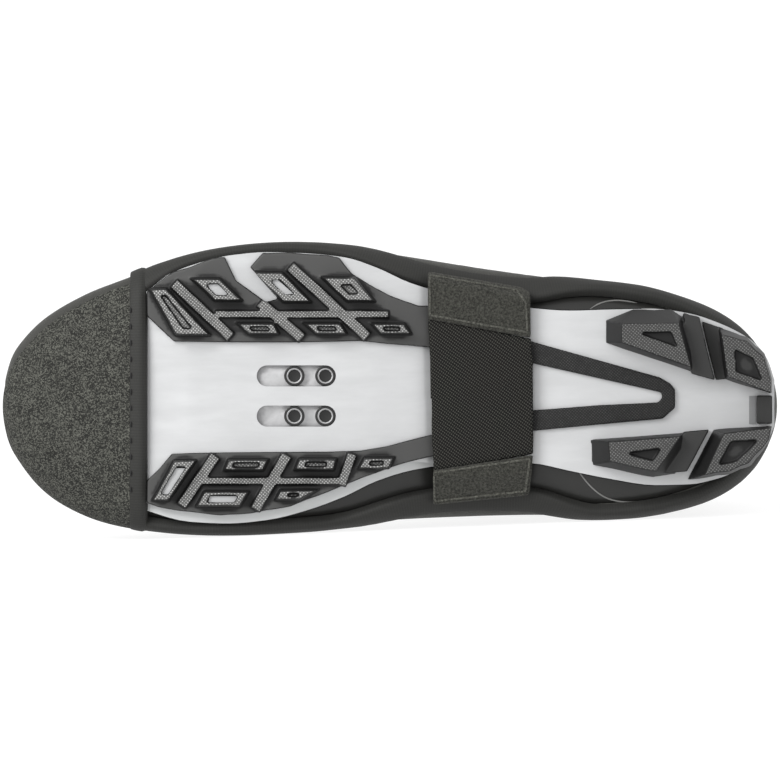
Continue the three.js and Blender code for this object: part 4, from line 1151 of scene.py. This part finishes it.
class OVERSHOE_OT_upper(bpy.types.Operator):
    """Model the shoe's hollow upper, raised beads along its overlay edges painted light grey as highlights,
    and the insole
    """

    bl_idname = "overshoe.upper"
    bl_label = "Shoe upper"

    def execute(self, context):
        gap = size_of("neoprene") + CLEARANCE
        upper = last_body("glossy_upper", -gap, creased=False, steps=4, columns=120)
        finish_with(upper, "SOLIDIFY", thickness=size_of("upper_wall"), offset=-1, use_even_offset=False)
        tool = sole_tool(sole_lateral, sole_medial, CLEARANCE, SOLE_TOP + CLEARANCE, 0.955 * LENGTH)
        cut(upper, tool)
        cut(upper, slab_tool((0, 0, COLLAR_BACK), -math.radians(COLLAR_SLOPE)))
        finish = leather_finish("glossy_synthetic", colour_of("leather"))
        settle(upper, finish, ["shoe_upper"])

        # Painted highlights: raised beads along the edges of the glossy overlays, coloured light grey for the
        # light these edges catch.
        edge_highlight, _, _ = new_finish("grey_piping", (0.16, 0.16, 0.155), 0.5)
        lines = {
            "lateral_front": [(590, 305), (597, 299), (606, 294.5), (615, 293), (624, 293), (638.5, 296)],
            "lateral_back": [(643, 303), (657, 302.5), (670, 303.5), (678, 308), (686, 317)],
            "medial": [(576, 471), (583, 482), (591, 492), (606, 505), (623, 510), (650, 509), (686, 504.5)],
        }
        for side, pixels in lines.items():
            line = line_on_upper(pixels, gap)
            settle(bead("upper_piping_" + side, line, EDGE_HIGHLIGHT_RADIUS, 0.1), edge_highlight,
                   angle=180)

        insole = node_copy("insole", "foam_insole")
        softened(insole, 1.0, 4)
        settle(insole, fuzzy_finish("insole_cover", (0.05, 0.05, 0.05)), ["insole"], 180)
        return {"FINISHED"}


class OVERSHOE_OT_sole(bpy.types.Operator):
    """Finish the midsole, the stiff plate and the steel under the slots"""

    bl_idname = "overshoe.sole"
    bl_label = "Sole"

    def execute(self, context):
        midsole = node_copy("midsole", "midsole_foam")
        eased(midsole, 3)
        pale = moulded_finish("midsole_grey", colour_of("midsole"), 0.5)
        settle(midsole, pale, ["midsole"])
        plate = node_copy("outsole_plate", "stiff_plate")
        eased(plate, 3)
        finish = moulded_finish("plate_silver", colour_of("plate"), 0.34, Metallic=0.25, Coat_Weight=0.3)
        settle(plate, finish, ["outsole_plate"])
        nut = node_copy("cleat_nut_plate", "threaded_plate")
        finish_with(nut, "BEVEL", width=0.25, segments=2, limit_method="ANGLE", use_clamp_overlap=False)
        zinc = steel_finish("bright_zinc", (0.42, 0.42, 0.425), 0.5)
        settle(nut, zinc, ["cleat_nut_plate"])
        dark, _, _ = new_finish("dark_steel", (0.016, 0.016, 0.016), 0.35, Specular_IOR_Level=0.35)
        pattern = added(
            bpy.ops.mesh.primitive_cylinder_add, vertices=32, radius=BOSS_RADIUS, depth=BOSS_HEIGHT)
        bpy.ops.object.mode_set(mode="EDIT")
        bpy.ops.mesh.select_mode(type="FACE")
        bpy.ops.mesh.select_all(action="SELECT")
        form = bmesh.from_edit_mesh(pattern.data)
        for face in form.faces:
            face.select = face.normal.z < -0.9
        bmesh.update_edit_mesh(pattern.data)
        bpy.ops.mesh.inset(thickness=BOSS_RADIUS - BORE_RADIUS)
        bpy.ops.mesh.extrude_region_move(TRANSFORM_OT_translate={"value": (0, 0, BORE_DEPTH)})
        bpy.ops.mesh.select_mode(type="VERT")
        bpy.ops.object.mode_set(mode="OBJECT")
        finish_with(pattern, "BEVEL", width=0.3, segments=3, limit_method="ANGLE", use_clamp_overlap=False)
        for i, (x, y) in enumerate(((x, y) for x in BOSS_PLACES for y in (-SLOT_OFFSET, SLOT_OFFSET))):
            boss = linked(f"threaded_boss_{i + 1}", pattern.data.copy())
            boss.data.transform(Matrix.Translation((x, y, BOSS_MIDDLE)))
            settle(boss, dark, angle=60)
            angles = np.linspace(0, 2 * math.pi, 9)
            section = [(LIP_RADIUS * math.cos(a), LIP_RADIUS * math.sin(a)) for a in angles]
            rings = []
            for turn in np.linspace(0, 2 * math.pi, 33):
                out = Vector((math.cos(turn), math.sin(turn), 0))
                reach = BORE_RADIUS + LIP_RADIUS
                rings.append([Vector((x, y, LIP_MIDDLE + h)) + out * (reach + r) for r, h in section])
            lip = moulded_grid(f"bore_lip_{i + 1}", rings)
            closed_up(lip)
            settle(lip, zinc, angle=180)
        bpy.data.objects.remove(pattern)
        return {"FINISHED"}


class OVERSHOE_OT_treads(bpy.types.Operator):
    """Finish the rubber treads, the heel lugs and the band in the arch"""

    bl_idname = "overshoe.treads"
    bl_label = "Treads"

    def execute(self, context):
        rubber = colour_of("rubber")
        wear_and_glint = colour_of("rubber_glint_and_wear")
        # Painted glints and wear on the raised faces; painted shade on the base beside the lugs, from groove
        tread = tread_finish("tread_rubber", rubber, 2.9, 0.1, wear_and_glint)
        heel = tread_finish("heel_rubber", rubber, LUG_HEIGHT - 0.3, 0.12, dimmed(wear_and_glint, 0.36))
        for side in ("lateral", "medial"):
            name = "forefoot_tread_" + side
            piece = node_copy(name, "forefoot_rubber_" + side)
            softened(piece, 0.4, 2)
            eased(piece)
            keep_depth(piece, plate_line, 2.6)
            settle(piece, tread, [name], 60)
        for side in ("lateral", "medial"):
            for end in ("front", "rear"):
                name = f"heel_lug_{side}_{end}"
                piece = node_copy(name, f"heel_block_{side}_{end}")
                softened(piece, 0.4, 2)
                eased(piece)
                keep_depth(piece, np.zeros_like, LUG_HEIGHT - 0.8)
                settle(piece, heel, [name], 60)
        bumper = node_copy("heel_bumper", "heel_end_rubber")
        softened(bumper, 0.4, 3)
        keep_depth(bumper, np.zeros_like, LUG_HEIGHT)
        settle(bumper, heel, ["heel_bumper"], 60)
        band = node_copy("arch_insert", "arch_band_rubber")
        softened(band, 0.5, 3)
        knurl = knurled_finish("arch_rubber", rubber, dimmed(wear_and_glint, 0.1))
        settle(band, knurl, ["arch_insert"], 60)
        ends = [(749, 396), (755.5, 396), (755.5, 424), (749, 424)]
        strip = flat_piece("heel_strip", ends, 0.15, 0.4)
        grey = moulded_finish("strip_grey", dimmed(colour_of("plate"), 0.5), 0.4)
        settle(strip, grey, angle=60)
        silver = moulded_finish("inlay_silver", dimmed(colour_of("plate"), 0.8), 0.35)
        inlays = {
            "lateral_1": [(208, 285), (218, 284), (229, 295), (215, 296)],
            "lateral_2": [(270, 280), (278, 280), (294, 294), (284, 295)],
            "medial_1": [(176, 468), (188, 468), (170, 495), (157, 494)],
            "medial_2": [(210, 496), (239, 496), (236, 503), (209, 502)],
        }
        for name, pixels in inlays.items():
            inlay = flat_piece("lug_inlay_" + name, pixels, LUG_FLOOR + 0.3, 0.6)
            settle(inlay, silver, angle=60)
        return {"FINISHED"}


class OVERSHOE_OT_stage(bpy.types.Operator):
    """Set up the floor, the soft light and the camera"""

    bl_idname = "overshoe.stage"
    bl_label = "Stage"

    def execute(self, context):
        low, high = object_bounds()
        floor = added(bpy.ops.mesh.primitive_plane_add, size=40)
        floor.name = "floor"
        floor.data.transform(Matrix.Translation((0, 0, low.z)))
        material, _, _ = new_finish(
            "white_floor", (0.2, 0.2, 0.2), 0.95, Emission_Color=(1, 1, 1, 1), Emission_Strength=0.86)
        floor.data.materials.append(material)
        floor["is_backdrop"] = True

        world = bpy.data.worlds.new("studio")
        world.use_nodes = True
        world.node_tree.nodes["Background"].inputs["Color"].default_value = (1, 1, 1, 1)
        world.node_tree.nodes["Background"].inputs["Strength"].default_value = 1.0
        context.scene.world = world
        context.scene.view_settings.view_transform = "Standard"

        right = Vector((0.99927, 0, -0.03823))
        up = Vector((0.03819, 0.04816, 0.99811))
        back = Vector(SOLE_NORMAL)
        centre = LYING @ Vector((140.5, 2.0, 0))
        lights = [
            ("key", -0.5, 0.42, 0.6, 0.45, 6.5),
            ("fill", 1.2, 0.3, 1.4, 1.2, 1.5),
        ]
        for name, aside, over, front, size, power in lights:
            place = centre + right * aside + up * over + back * front
            bpy.ops.object.light_add(type="AREA", location=place)
            light = context.object
            light.name = name
            light.data.size = size
            light.data.energy = power
            light.rotation_euler = (centre - place).to_track_quat("-Z", "Y").to_euler()

        bpy.ops.object.camera_add()
        camera = context.object
        camera.name = "photo_camera"
        camera.data.lens = CAMERA_LENS
        camera.data.sensor_width = CAMERA_SENSOR
        distance = VIEW_WIDTH * CAMERA_LENS / CAMERA_SENSOR
        turn = Matrix((right, up, back)).transposed().to_4x4()
        camera.matrix_world = Matrix.Translation(centre + back * distance) @ turn
        camera.data.clip_end = 100
        context.scene.camera = camera
        return {"FINISHED"}


STEPS = (
    OVERSHOE_OT_body, OVERSHOE_OT_toe_cap, OVERSHOE_OT_bindings, OVERSHOE_OT_strap, OVERSHOE_OT_upper,
    OVERSHOE_OT_sole, OVERSHOE_OT_treads, OVERSHOE_OT_stage,
)


class OVERSHOE_PT_panel(bpy.types.Panel):
    """The overshoe's settings and building steps"""

    bl_label = "Cycling overshoe"
    bl_idname = "OVERSHOE_PT_panel"
    bl_space_type = "VIEW_3D"
    bl_region_type = "UI"
    bl_category = "Overshoe"

    def draw(self, context):
        for group in (context.scene.overshoe_sizes, context.scene.overshoe_colours):
            box = self.layout.box()
            for name in group.__annotations__:
                box.prop(group, name)
        for step in STEPS:
            self.layout.operator(step.bl_idname)


CLASSES = (OvershoeSizes, OvershoeColours, *STEPS, OVERSHOE_PT_panel)


def register():
    for item in CLASSES:
        bpy.utils.register_class(item)
    bpy.types.Scene.overshoe_sizes = bpy.props.PointerProperty(type=OvershoeSizes)
    bpy.types.Scene.overshoe_colours = bpy.props.PointerProperty(type=OvershoeColours)


def unregister():
    del bpy.types.Scene.overshoe_colours
    del bpy.types.Scene.overshoe_sizes
    for item in reversed(CLASSES):
        bpy.utils.unregister_class(item)


def main():
    """Builds everything in order."""
    register()
    bpy.ops.overshoe.body()
    bpy.ops.overshoe.toe_cap()
    bpy.ops.overshoe.bindings()
    bpy.ops.overshoe.strap()
    bpy.ops.overshoe.upper()
    bpy.ops.overshoe.sole()
    bpy.ops.overshoe.treads()
    bpy.ops.overshoe.stage()


if __name__ == "__main__":
    main()
